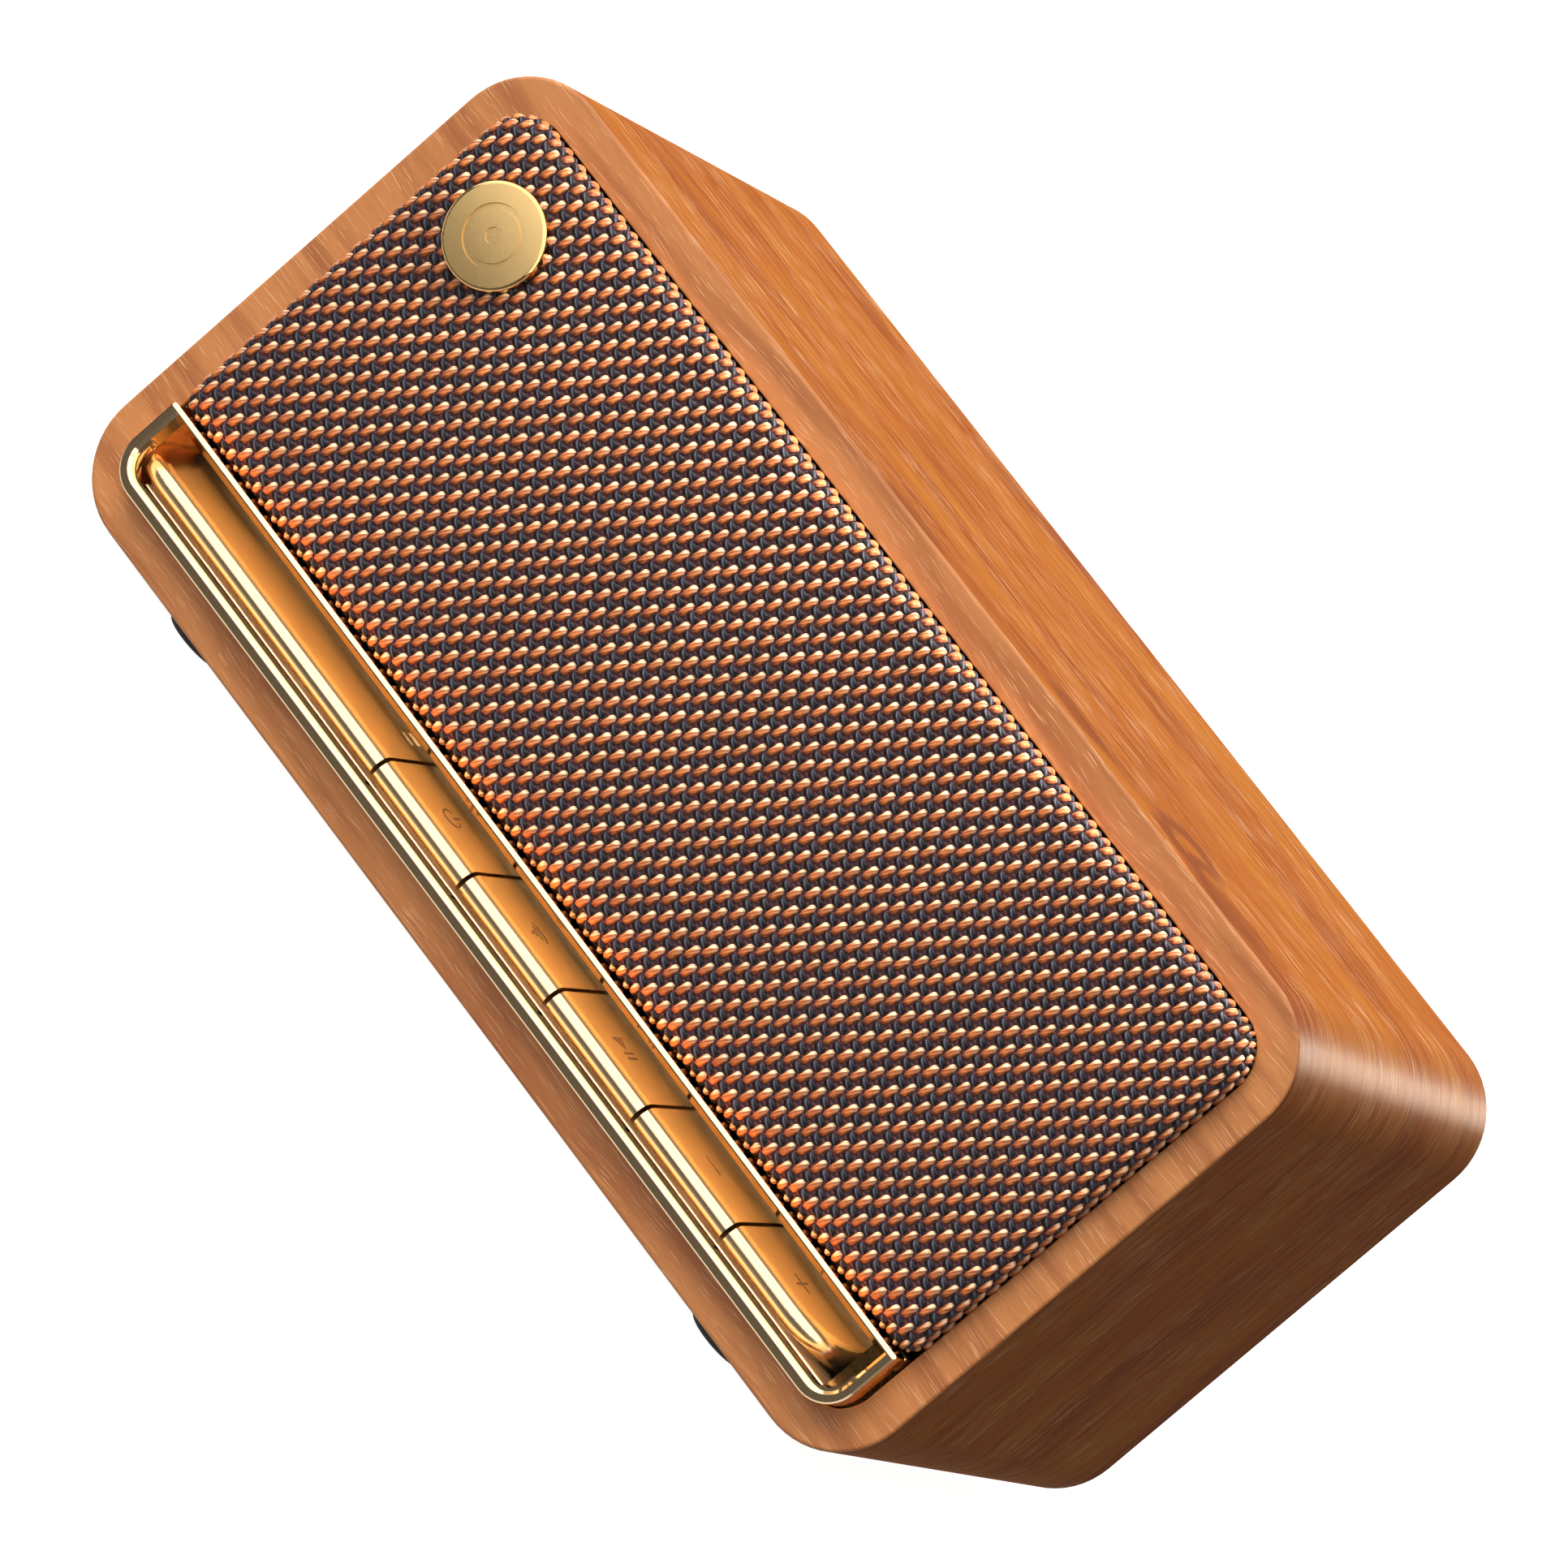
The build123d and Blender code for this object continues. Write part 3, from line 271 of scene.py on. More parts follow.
def rim_wood():
    """The cabinet's front edge: its grain runs across the width, with short light strokes."""
    paint = Paint("rim_wood", RIM_LIGHT, Coat_Weight=0.15, Coat_Roughness=0.3)
    here = paint.stretch(paint.where(), (1 / MM, 1 / MM, 1 / MM))
    wavy = paint.noise(paint.stretch(here, (0.02, 0.1, 0.06)), 1.0, 2.0)
    waved = paint.moved(here, "Z", paint.math("MULTIPLY", wavy, WANDER))
    bands = paint.noise(paint.stretch(waved, (0.015, 0.1, 0.22)), 1.0, 3.0, 0.6)
    fine = paint.noise(paint.stretch(waved, (0.35, 0.5, 9.0)), 1.0, 4.0, 0.7)
    flecks = paint.noise(paint.stretch(waved, (0.22, 0.5, 7.0), (9, 0, 4)), 1.0, 1.0, 0.4)
    colour = paint.mix(paint.ramp(bands, 0.34, 0.60), RIM_DARK, RIM_LIGHT)
    colour = paint.mix(paint.ramp(fine, 0.46, 0.30, 0.0, 0.35), colour, RIM_DARK)
    shown = paint.ramp(flecks, 0.62, 0.70, 0.0, 0.6)
    colour = paint.mix(shown, colour, RIM_FLECK)
    paint.set("Base Color", colour)
    paint.set("Roughness", paint.ramp(fine, 0.3, 0.7, 0.62, 0.48))
    paint.bump(paint.math("SUBTRACT", fine, shown), 0.25, PORE_DEPTH)
    return paint.material


# ---------------------------------------------------------------- metals
GOLD = (0.95, 0.68, 0.39)
LINER_GOLD = (0.93, 0.64, 0.28)
BADGE_DARK = (0.66, 0.43, 0.16)
BADGE_LIGHT = (0.84, 0.57, 0.25)
SATIN_EDGE = 0.0005  # the badge's polished rim is about this wide, in metres


def gold(name, rough=0.07, tint=GOLD):
    """Bright plating, with faint polishing haze."""
    paint = Paint(name, tint, rough, 1.0)
    haze = paint.noise(paint.stretch(paint.where(), (60, 300, 300)), 1.0, 2.0)
    paint.set("Roughness", paint.ramp(haze, 0.3, 0.7, rough * 0.85, rough * 1.25))
    grit = paint.noise(paint.where(), 5000, 2.0)
    paint.set("Base Color", paint.mix(grit, tuple(c * 0.97 for c in tint), tint))
    return paint


def bezel_gold():
    """Polished on the front, satin from just before the cabinet's rim and behind it."""
    polished, satin = 0.09, 0.32
    paint = gold("bezel_gold", polished)
    _, y, _ = paint.split(paint.where())
    paint.set("Roughness", paint.ramp(y, place(0, -0.5, 0).y, place(0, -0.3, 0).y, polished, satin))
    return paint.material


def badge_gold():
    """Satin face with a polished rim."""
    paint = Paint("badge_gold", BADGE_LIGHT, 0.3, 1.0)
    middle = (BADGE_LOW + BADGE_HIGH) / 2
    radius = (BADGE_HIGH.x - BADGE_LOW.x) / 2
    here = paint.where()
    offset = paint.node("VectorMath", {0: here, 1: middle}, operation="SUBTRACT").outputs[0]
    flat = paint.node("VectorMath", {0: offset, 1: (1, 0, 1)}, operation="MULTIPLY").outputs[0]
    reach = paint.node("VectorMath", {0: flat}, operation="LENGTH").outputs["Value"]
    face = paint.ramp(reach, radius - SATIN_EDGE, radius - SATIN_EDGE * 0.6, 1.0, 0.0)
    grit = paint.noise(here, 9000, 2.0)
    rough = paint.math("MULTIPLY", face, paint.ramp(grit, 0.3, 0.7, 0.20, 0.36))
    paint.set("Roughness", paint.math("ADD", rough, 0.08))
    paint.set("Base Color", paint.mix(grit, BADGE_DARK, BADGE_LIGHT))
    share = paint.math("DIVIDE", reach, radius)
    dome = paint.math("MULTIPLY", paint.math("POWER", share, 2), -14.0)
    paint.bump(paint.math("ADD", dome, paint.math("MULTIPLY", grit, face)), 1.0, 0.00003)
    return paint.material


# ---------------------------------------------------------------- cloth
# Each yarn's tones: painted shade for the lower end and the sides of each float, its own colour,
# painted highlight for the upper end, and a painted tone along the line of its twist (painted shade
# in the copper's groove, a painted highlight streak on the dark yarn).
COPPER_TONES_WITH_PAINTED_LIGHT = ((0.17, 0.032, 0.010), (0.86, 0.265, 0.066), (1.0, 0.66, 0.38),
                (0.30, 0.060, 0.016))
DARK_TONES_WITH_PAINTED_LIGHT = ((0.001, 0.001, 0.001), (0.004, 0.003, 0.005), (0.014, 0.011, 0.017),
              (0.115, 0.110, 0.145))
BACK_TONE = (0.020, 0.009, 0.012)
THREAD_TONE = (0.19, 0.036, 0.026)
# The weave: the distances between crossings, and the place of one of them.
COLUMN_PITCH = 1.3746
ROW_PITCH = 1.757
COLUMN_AT = 0.45
ROW_AT = 50.17
STRAY = 0.03  # how far a float may stand off its crossing
CREST = 0.15  # height of the copper yarn over its own surface
SUNK = -0.50  # where the yarns dive into the sheet
SHEET_LIFT = -0.42
# The shape: the CAD cloth, let out a little so that the yarns reach the cabinet's rim.
CLOTH_LOW, CLOTH_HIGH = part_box("grille_cloth")
CLOTH_X = CLOTH_HIGH.x / MM + 0.3
CLOTH_BOTTOM = local(CLOTH_LOW)[2]
CLOTH_TOP = local(CLOTH_HIGH)[2] + 0.25
CLOTH_FRONT = local(CLOTH_LOW)[1] - 0.15
ROLL = 2.4  # radius of the turn over the frame's edge
TOP_CORNER = 5.6 - ROLL
LOW_CORNER = 0.2
TUCK = ROLL * math.pi / 2 + 3.0  # the turn, and the straight run behind the rim
LAST_FLOAT = TUCK - 0.6  # no float is centred further round than this


def yarn(name, tones, rough, turns, sheen, shine):
    """Twisted yarn: painted highlight on the upper end of each float and painted shade on its lower
    end and sides, a painted line where the twist crosses it, and fibres that follow the twist."""
    low, mid, high, line = tones
    paint = Paint(name, mid, Sheen_Weight=sheen, Sheen_Roughness=0.4, Specular_IOR_Level=shine)
    paint.set("Sheen Tint", (*high, 1))
    across, along, _ = paint.split(paint.uv("float"))
    tone = paint.node("Attribute", attribute_name="tone").outputs["Fac"]
    slant = paint.math("MULTIPLY", paint.math("SUBTRACT", along, 0.5), turns)
    turn = paint.math("SUBTRACT", across, slant)
    split_line = paint.math("ABSOLUTE", paint.math("SUBTRACT", turn, 0.5))
    deep = paint.ramp(split_line, 0.02, 0.26, 1.0, 0.0)
    fibre = paint.node("CombineXYZ", {"X": paint.math("MULTIPLY", turn, 11.0),
                                      "Y": paint.math("MULTIPLY", along, 1.6),
                                      "Z": paint.math("MULTIPLY", tone, 91.0)}).outputs[0]
    hair = paint.noise(fibre, 1.0, 2.0, 0.6)
    fray = paint.math("MULTIPLY", paint.math("SUBTRACT", hair, 0.5), 0.5)
    level = paint.math("ADD", along, fray)
    side = paint.math("ABSOLUTE", paint.math("SUBTRACT", across, 0.5))
    # painted shade on the lower end and painted highlight on the upper end of each float, for light
    # from above
    colour = paint.mix(paint.ramp(level, 0.05, 0.45), low, mid)
    colour = paint.mix(paint.ramp(level, 0.50, 0.85), colour, high)
    colour = paint.mix(paint.ramp(hair, 0.50, 0.32, 0.0, 0.6), colour, low)
    # painted twist line: painted shade in the copper's groove, a painted highlight streak on the
    # dark yarn
    colour = paint.mix(paint.math("MULTIPLY", deep, 0.80), colour, line)
    # painted shade at the sides of each float, where it curves down into the sheet
    colour = paint.mix(paint.ramp(side, 0.28, 0.50, 0.0, 0.85), colour, low)
    dim = paint.ramp(tone, 0.0, 1.0, 0.78, 1.0)
    grey = paint.node("CombineColor", {0: dim, 1: dim, 2: dim}).outputs[0]
    paint.set("Base Color", paint.mix(1.0, colour, grey, "MULTIPLY"))
    paint.set("Roughness", paint.ramp(hair, 0.3, 0.7, rough + 0.15, rough - 0.05))
    relief = paint.math("SUBTRACT", paint.math("MULTIPLY", hair, 0.6), deep)
    paint.bump(relief, 0.7, 0.00012)
    return paint.material


def backing():
    """What shows between the floats: near-black yarn crossed by fine red-brown threads."""
    paint = Paint("cloth_backing", BACK_TONE, 0.7)
    _, z, _ = paint.split(paint.uv("plane"))
    rows = paint.math("FRACT", paint.math("DIVIDE", paint.math("SUBTRACT", z, ROW_AT), ROW_PITCH))
    off = paint.math("ABSOLUTE", paint.math("SUBTRACT", rows, 0.5))
    beside = paint.math("ABSOLUTE", paint.math("SUBTRACT", off, 0.19))
    line = paint.ramp(beside, 0.035, 0.075, 1.0, 0.0)
    dash = paint.noise(paint.stretch(paint.uv("plane"), (1.6, 0.3, 1)), 1.0, 1.0)
    amount = paint.math("MULTIPLY", line, paint.ramp(dash, 0.35, 0.55, 0.25, 1.0))
    paint.set("Base Color", paint.mix(amount, BACK_TONE, THREAD_TONE))
    paint.bump(amount, 0.5, 0.0001)
    return paint.material


def drape(across, height, lift):
    """Flat points of the cloth laid over the frame's rolled edge, lift millimetres off the surface.

    Also returns how far past the start of the turn each point lies."""
    middle = (CLOTH_BOTTOM + CLOTH_TOP) / 2
    corner = np.where(height > middle, TOP_CORNER, LOW_CORNER)
    edge_x = CLOTH_X - ROLL - corner
    core_x = np.clip(across, -edge_x, edge_x)
    core_z = np.clip(height, CLOTH_BOTTOM + ROLL + corner, CLOTH_TOP - ROLL - corner)
    off_x, off_z = across - core_x, height - core_z
    reach = np.maximum(np.hypot(off_x, off_z), 1e-9)
    way_x, way_z = off_x / reach, off_z / reach
    over = np.clip(reach - corner, 0, TUCK)
    angle = np.clip(over / ROLL, 0, math.pi / 2)
    back = over - angle * ROLL
    flat = np.minimum(reach, corner)
    out = flat + (ROLL + lift) * np.sin(angle)
    depth = CLOTH_FRONT + CREST + ROLL * (1 - np.cos(angle)) - lift * np.cos(angle) + back
    return np.stack([core_x + way_x * out, depth, core_z + way_z * out], -1), over


def to_row(points):
    """Millimetre points to the row frame, in metres."""
    return points.reshape(-1, 3) * MM + np.array([0, CABINET_LOW.y, CABINET_LOW.z])


def grid_faces(columns, rows):
    i, j = np.meshgrid(np.arange(columns - 1), np.arange(rows - 1), indexing="ij")
    first = (i * rows + j).ravel()
    return np.stack([first, first + rows, first + rows + 1, first + 1], -1)


def mesh_from(name, points, faces, uv_name, uv, tone=None):
    mesh = bpy.data.meshes.new(name)
    mesh.from_pydata(points.tolist(), [], faces.tolist())
    layer = mesh.uv_layers.new(name=uv_name)
    corners = np.array([loop.vertex_index for loop in mesh.loops])
    layer.data.foreach_set("uv", uv[corners].astype(np.float32).ravel())
    if tone is not None:
        tones = mesh.attributes.new("tone", "FLOAT", "POINT")
        tones.data.foreach_set("value", tone.astype(np.float32))
    mesh.polygons.foreach_set("use_smooth", np.ones(len(mesh.polygons), bool))
    mesh.update()
    return mesh


def floats(name, odd, width, length, top, lean, material, seed):
    """Every float of one yarn: small pillows at alternate crossings of the weave."""
    across_points, along_points = 7, 9
    sides = np.linspace(-1, 1, across_points)
    ends = np.linspace(-1, 1, along_points)
    s, t = np.meshgrid(sides, ends, indexing="ij")
    # The square grid is drawn into a disc, domed, and then let out towards a rounded rectangle.
    disc_x, disc_y = s * np.sqrt(1 - t * t / 2), t * np.sqrt(1 - s * s / 2)
    dome = np.clip(1 - disc_x ** 2 - np.abs(disc_y) ** 2.7, 0, 1) ** 0.55
    square = 1 + 0.36 * disc_x ** 2 * disc_y ** 2
    flat_x = disc_x * square * width / 2 + disc_y * math.tan(lean) * length / 2
    flat_z = disc_y * square * length / 2
    random = np.random.default_rng(seed)
    points, uvs, tones, faces = [], [], [], []
    last_column = int(CLOTH_X / COLUMN_PITCH) + 3
    rows_up = int((CLOTH_TOP - ROW_AT) / ROW_PITCH) + 3
    rows_down = int((ROW_AT - CLOTH_BOTTOM) / ROW_PITCH) + 3
    for row in range(-rows_down, rows_up):
        for column in range(-last_column, last_column):
            if (row + column) % 2 != odd:
                continue
            x = COLUMN_AT + column * COLUMN_PITCH + random.normal(0, STRAY)
            z = ROW_AT + row * ROW_PITCH + random.normal(0, STRAY)
            swell, level = 1 + random.normal(0, 0.04), random.random()
            _, over = drape(np.array([x]), np.array([z]), 0)
            if over[0] >= LAST_FLOAT:
                continue
            lift = SUNK + (top - SUNK) * dome * swell
            placed, _ = drape(x + flat_x * swell, z + flat_z, lift)
            faces.append(grid_faces(across_points, along_points) + len(points) * s.size)
            points.append(placed.reshape(-1, 3))
            uvs.append(np.stack([disc_x, disc_y], -1).reshape(-1, 2) / 2 + 0.5)
            tones.append(np.full(s.size, level))
    mesh = mesh_from(name, to_row(np.concatenate(points)), np.concatenate(faces), "float",
                     np.concatenate(uvs), np.concatenate(tones))
    return link(name, mesh, material)


def woven_cloth():
    """The backing sheet over the frame, and the two yarns that cross on it. Returns the yarns."""
    reach = TUCK + 0.2
    column_step, row_step = 1.0, 0.9
    right, top = CLOTH_X - ROLL + reach, CLOTH_TOP - ROLL + reach
    xs = np.arange(-right, right + 0.01, column_step)
    zs = np.arange(CLOTH_BOTTOM + ROLL - reach, top + 0.01, row_step)
    across, height = np.meshgrid(xs, zs, indexing="ij")
    placed, _ = drape(across, height, SHEET_LIFT)
    flat_map = np.stack([across, height], -1).reshape(-1, 2)
    faces = grid_faces(len(xs), len(zs))
    mesh = mesh_from("cloth_backing", to_row(placed), faces, "plane", flat_map)
    work = bmesh.new()
    work.from_mesh(mesh)
    bmesh.ops.remove_doubles(work, verts=work.verts, dist=0.00005)
    bmesh.ops.dissolve_degenerate(work, edges=work.edges, dist=0.00002)
    work.to_mesh(mesh)
    work.free()
    sheet = link("cloth_backing", mesh, backing())
    copper_yarn = yarn("copper_yarn", COPPER_TONES_WITH_PAINTED_LIGHT, rough=0.42, turns=0.9, sheen=0.2, shine=0.5)
    dark_yarn = yarn("dark_yarn", DARK_TONES_WITH_PAINTED_LIGHT, rough=0.45, turns=-1.4, sheen=0.0, shine=0.25)
    copper = floats("cloth_copper_yarn", 0, 1.06, 2.30, CREST, math.radians(7), copper_yarn, 3)
    dark = floats("cloth_dark_yarn", 1, 1.42, 1.24, CREST - 0.16, math.radians(-6), dark_yarn, 4)
    for piece in (sheet, copper, dark):
        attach(piece, "case")
    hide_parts("grille_cloth")
    return copper, dark


# ---------------------------------------------------------------- cabinet
def arc(centre, radius, start, end, steps):
    """Points round a centre, from one angle to another, in degrees."""
    angles = [math.radians(start + (end - start) * i / steps) for i in range(steps + 1)]
    return [(centre[0] + radius * math.cos(a), centre[1] + radius * math.sin(a)) for a in angles]


def cabinet():
    """The veneered tube: one profile of the wall carried round the rounded rectangle.

    It starts at the bottom left corner, so that the seam of its map lies on the underside. The
    front edge, most of its rounding and the inside are rim wood, the rest is veneer."""
    core_x, core_z = WIDTH / 2 - OUTER_R, HEIGHT / 2 - OUTER_R
    inner, front_r, rear_r, break_r = OUTER_R - WALL, 0.5, 1.0, 0.15
    rounding_steps = 4
    outside = arc((OUTER_R - front_r, front_r), front_r, -90, 0, rounding_steps)
    outside += [(OUTER_R, DEPTH / 3), (OUTER_R, 2 * DEPTH / 3)]
    outside += arc((OUTER_R - rear_r, DEPTH - rear_r), rear_r, 0, 90, 5)
    inside = [(inner + break_r, DEPTH), (inner, DEPTH - break_r)]
    inside += [(inner, break_r), (inner + break_r, 0)]
    profile = outside + inside
    rim_start = len(outside)

    corner_steps, side_steps = 14, 8
    stations = []
    run = -3 * core_x - 2 * core_z - OUTER_R * math.pi
    corners = [(-core_x, -core_z), (-core_x, core_z), (core_x, core_z), (core_x, -core_z)]
    for index, (cx, cz) in enumerate(corners):
        length = 2 * core_x if index % 2 == 0 else 2 * core_z
        turn = math.radians(-90 - 90 * index)
        ahead = Vector((math.sin(turn), -math.cos(turn)))
        for step in range(side_steps):
            back = length * (1 - step / side_steps)
            stations.append((cx - ahead.x * back, cz - ahead.y * back, turn, run + length - back))
        run += length
        for step in range(corner_steps):
            angle = turn - math.pi / 2 * step / corner_steps
            stations.append((cx, cz, angle, run + OUTER_R * math.pi / 2 * step / corner_steps))
        run += OUTER_R * math.pi / 2
    count = len(profile)
    points = []
    for cx, cz, angle, _ in stations:
        for out, depth in profile:
            x, z = cx + out * math.cos(angle), cz + out * math.sin(angle)
            points.append(place(x, depth, HEIGHT / 2 + z))
    distance = [0.0]
    for a, b in zip(profile, profile[1:]):
        distance.append(distance[-1] + math.dist(a, b))
    distance.append(distance[-1] + math.dist(profile[-1], profile[0]))
    runs = [s[3] for s in stations] + [run]
    faces, maps, kinds = [], [], []
    for i in range(len(stations)):
        for j in range(count):
            a, b = i, (i + 1) % len(stations)
            k = (j + 1) % count
            faces.append([a * count + j, b * count + j, b * count + k, a * count + k])
            maps += [(runs[i], distance[j]), (runs[i + 1], distance[j]),
                     (runs[i + 1], distance[j + 1]), (runs[i], distance[j + 1])]
            kinds.append(1 if j > rim_start or j < rounding_steps - 1 else 0)
    mesh = bpy.data.meshes.new("cabinet_veneered")
    mesh.from_pydata(points, [], faces)
    layer = mesh.uv_layers.new(name="grain")
    layer.data.foreach_set("uv", [value for pair in maps for value in pair])
    mesh.polygons.foreach_set("use_smooth", [True] * len(faces))
    mesh.polygons.foreach_set("material_index", kinds)
    mesh.update()
    obj = link("cabinet_veneered", mesh, veneer(), rim_wood())
    work = bmesh.new()
    work.from_mesh(mesh)
    bmesh.ops.recalc_face_normals(work, faces=work.faces)
    work.to_mesh(mesh)
    work.free()
    mesh.set_sharp_from_angle(angle=math.radians(40))
    even = obj.modifiers.new("even", "WEIGHTED_NORMAL")
    even.keep_sharp = True
    even.weight = 100
    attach(obj, "case")
    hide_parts("cabinet")


# ---------------------------------------------------------------- liner over the keys
def strip(name, profile, half, material):
    """A straight strip across the front: a profile of depths and heights, closed at both ends."""
    points = [place(x, depth, height) for x in (-half, half) for depth, height in profile]
    count = len(profile)
    faces = [[i, (i + 1) % count, (i + 1) % count + count, i + count] for i in range(count)]
    faces += [list(range(count))[::-1], list(range(count, 2 * count))]
    mesh = bpy.data.meshes.new(name)
    mesh.from_pydata(points, [], faces)
    mesh.polygons.foreach_set("use_smooth", [True] * len(faces))
    mesh.update()
    mesh.set_sharp_from_angle(angle=math.radians(30))
    obj = link(name, mesh, material)
    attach(obj, "case")
    return obj


def bezel_liners():
    """Satin gold strip under the bezel's ceiling, and the rounded sill behind its lower lip."""
    bezel_wall = 1.7
    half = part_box("key_bezel")[0].x / -MM - bezel_wall
    front, rear = 0.2, 13.6
    ceiling, thick, taper = 15.44, 0.25, 0.03
    paint = gold("liner_gold", 0.5, LINER_GOLD)
    paint.set("Roughness", paint.ramp(paint.noise(paint.where(), 6000, 2.0), 0.3, 0.7, 0.45, 0.6))
    wedge = [(rear, ceiling), (rear, ceiling - thick), (front, ceiling - taper), (front, ceiling)]
    liner = strip("bezel_liner", wedge, half, paint.material)
    sill_low, sill_top, sill_r = 7.05, 7.73, 0.26
    lip = [(-0.36, sill_low)] + arc((-0.04, sill_top - sill_r), sill_r, 172, 90, 6)
    lip += [(5.0, sill_top), (5.0, sill_low)]
    sill = strip("bezel_sill", lip, half - 2.5, gold("sill_gold", 0.38).material)
    return liner, sill


# ---------------------------------------------------------------- marks on the keys
MARK_W = 0.34
MARK_DEPTH = 3.9
KEY_W = 17.6  # the last key is longer, with its mark at the same place as on the others
ABOVE_KEYS = 30.0
INK_LIFT = 0.00002  # in metres, like the next
INK_THICK = 0.00004


def stroke(points, width):
    """A flat ribbon along points, as a list of quads."""
    quads = []
    for a, b in zip(points, points[1:]):
        a, b = Vector(a), Vector(b)
        side = (b - a).orthogonal().normalized() * width / 2
        quads.append([a - side, b - side, b + side, a + side])
    return quads


def marks():
    """Generic signs printed on the key tops: power, wireless, play and pause, less, more."""
    print_ink = grained("mark_ink", (0.075, 0.032, 0.012), (0.10, 0.042, 0.016), 0.0004, 0.5)
    signs = {
        "power": stroke(arc((0, 0), 1.45, 125, 415, 20), MARK_W)
                 + stroke([(0, 0.5), (0, 2.1)], MARK_W),
        "wireless": [quad for radius in (0.7, 1.5, 2.3)
                     for quad in stroke(arc((0, -1.3), radius, 45, 135, 8), MARK_W)]
                    + stroke([(0, -1.75), (0, -1.3)], MARK_W * 1.4),
        "play": [[Vector((-1.8, -1.3)), Vector((0.1, 0)), Vector((0.1, 0)), Vector((-1.8, 1.3))]]
                + stroke([(0.75, -1.25), (0.75, 1.25)], MARK_W)
                + stroke([(1.55, -1.25), (1.55, 1.25)], MARK_W),
        "minus": stroke([(-1.5, 0), (1.5, 0)], MARK_W),
        "plus": stroke([(-1.5, 0), (1.5, 0)], MARK_W) + stroke([(0, 0.17), (0, 1.5)], MARK_W)
                + stroke([(0, -1.5), (0, -0.17)], MARK_W),
    }
    for name, quads in signs.items():
        key = frame["nodes"][name + "_key"]
        low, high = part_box(name + "_key")
        centre = (low.x + min(high.x, low.x + KEY_W * MM)) / 2 / MM
        corners_of = [polygon.vertices for polygon in key.data.polygons]
        tree = BVHTree.FromPolygons([vertex.co for vertex in key.data.vertices], corners_of)
        work = bmesh.new()
        for quad in quads:
            corners = []
            for point in quad:
                if corners and (Vector(point) - corners[-1][1]).length < 1e-6:
                    continue
                above = place(centre + point[0], MARK_DEPTH + point[1], ABOVE_KEYS)
                hit = tree.ray_cast(above, Vector((0, 0, -1)))[0]
                corners.append((work.verts.new(hit + Vector((0, 0, INK_LIFT))), Vector(point)))
            work.faces.new([corner[0] for corner in corners])
        bmesh.ops.recalc_face_normals(work, faces=work.faces)
        mesh = bpy.data.meshes.new(name + "_mark")
        work.to_mesh(mesh)
        work.free()
        obj = link(name + "_mark", mesh, print_ink)
        thick = obj.modifiers.new("ink", "SOLIDIFY")
        thick.thickness = INK_THICK
        thick.offset = 0
        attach(obj, name + "_key")


# ---------------------------------------------------------------- finishes of the CAD nodes
def board_green():
    """Solder mask with a faint net of tracks under it."""
    paint = Paint("circuit_board", rough=0.3, Coat_Weight=0.4, Coat_Roughness=0.1)
    cells = {"Vector": paint.where(), "Scale": 420.0, "Randomness": 0.35}
    tracks = paint.node("TexVoronoi", cells, distance="MANHATTAN").outputs["Distance"]
    lines = paint.ramp(tracks, 0.42, 0.50)
    paint.set("Base Color", paint.mix(lines, (0.012, 0.10, 0.045), (0.03, 0.19, 0.09)))
    paint.bump(lines, 0.2, 0.00003)
    return paint.material


def window():
    """Smoked lens, faintly cloudy."""
    paint = Paint("smoked_window", rough=0.4, Specular_IOR_Level=0.1)
    cloud = paint.noise(paint.where(), 900, 1.0)
    paint.set("Base Color", paint.mix(cloud, (0.020, 0.010, 0.006), (0.060, 0.030, 0.016)))
    return paint.material


def spider():
    """Resin-dipped cloth, its threads crossing."""
    threads = 9000.0
    paint = Paint("spider_cloth", rough=0.8)
    x, _, z = paint.split(paint.where())
    one_way = paint.math("SINE", paint.math("MULTIPLY", x, threads))
    other_way = paint.math("SINE", paint.math("MULTIPLY", z, threads))
    weave = paint.math("MULTIPLY", one_way, other_way)
    tone = paint.ramp(weave, -1, 1)
    paint.set("Base Color", paint.mix(tone, (0.36, 0.22, 0.06), (0.60, 0.42, 0.15)))
    paint.bump(weave, 0.4, 0.0001)
    return paint.material


# Slot: two tones, the size of the grain in metres, roughness, and how metallic it is if at all.
GRAINED = {
    "walnut_veneer": ((0.52, 0.17, 0.03), (0.6, 0.22, 0.05), 0.002, 0.5),
    "woven_cloth": ((0.1, 0.05, 0.03), (0.2, 0.08, 0.04), 0.001, 0.8),
    "pine_block": ((0.55, 0.36, 0.17), (0.66, 0.46, 0.24), 0.002, 0.75),
    "fibreboard": ((0.02, 0.015, 0.013), (0.04, 0.03, 0.025), 0.0006, 0.85),
    "led_strip": ((0.8, 0.8, 0.74), (0.9, 0.88, 0.8), 0.0005, 0.3),
    "weight_plate": ((0.03, 0.03, 0.032), (0.045, 0.045, 0.046), 0.0004, 0.4),
    "guard_steel": ((0.022, 0.022, 0.023), (0.03, 0.03, 0.031), 0.0003, 0.5),
    "capacitor_sleeve": ((0.02, 0.02, 0.05), (0.03, 0.03, 0.07), 0.0005, 0.3),
    "cell_wrap": ((0.02, 0.10, 0.30), (0.03, 0.14, 0.36), 0.001, 0.3),
    "lead_red": ((0.42, 0.015, 0.012), (0.50, 0.02, 0.015), 0.0008, 0.45),
    "ribbon_white": ((0.72, 0.72, 0.70), (0.80, 0.80, 0.77), 0.0008, 0.45),
    "basket_steel": ((0.025, 0.025, 0.026), (0.035, 0.035, 0.036), 0.0005, 0.4),
    "cone_paper": ((0.02, 0.02, 0.02), (0.035, 0.034, 0.033), 0.0006, 0.85),
    "black_screw": ((0.025, 0.025, 0.027), (0.035, 0.035, 0.036), 0.0003, 0.42, 0.6),
}
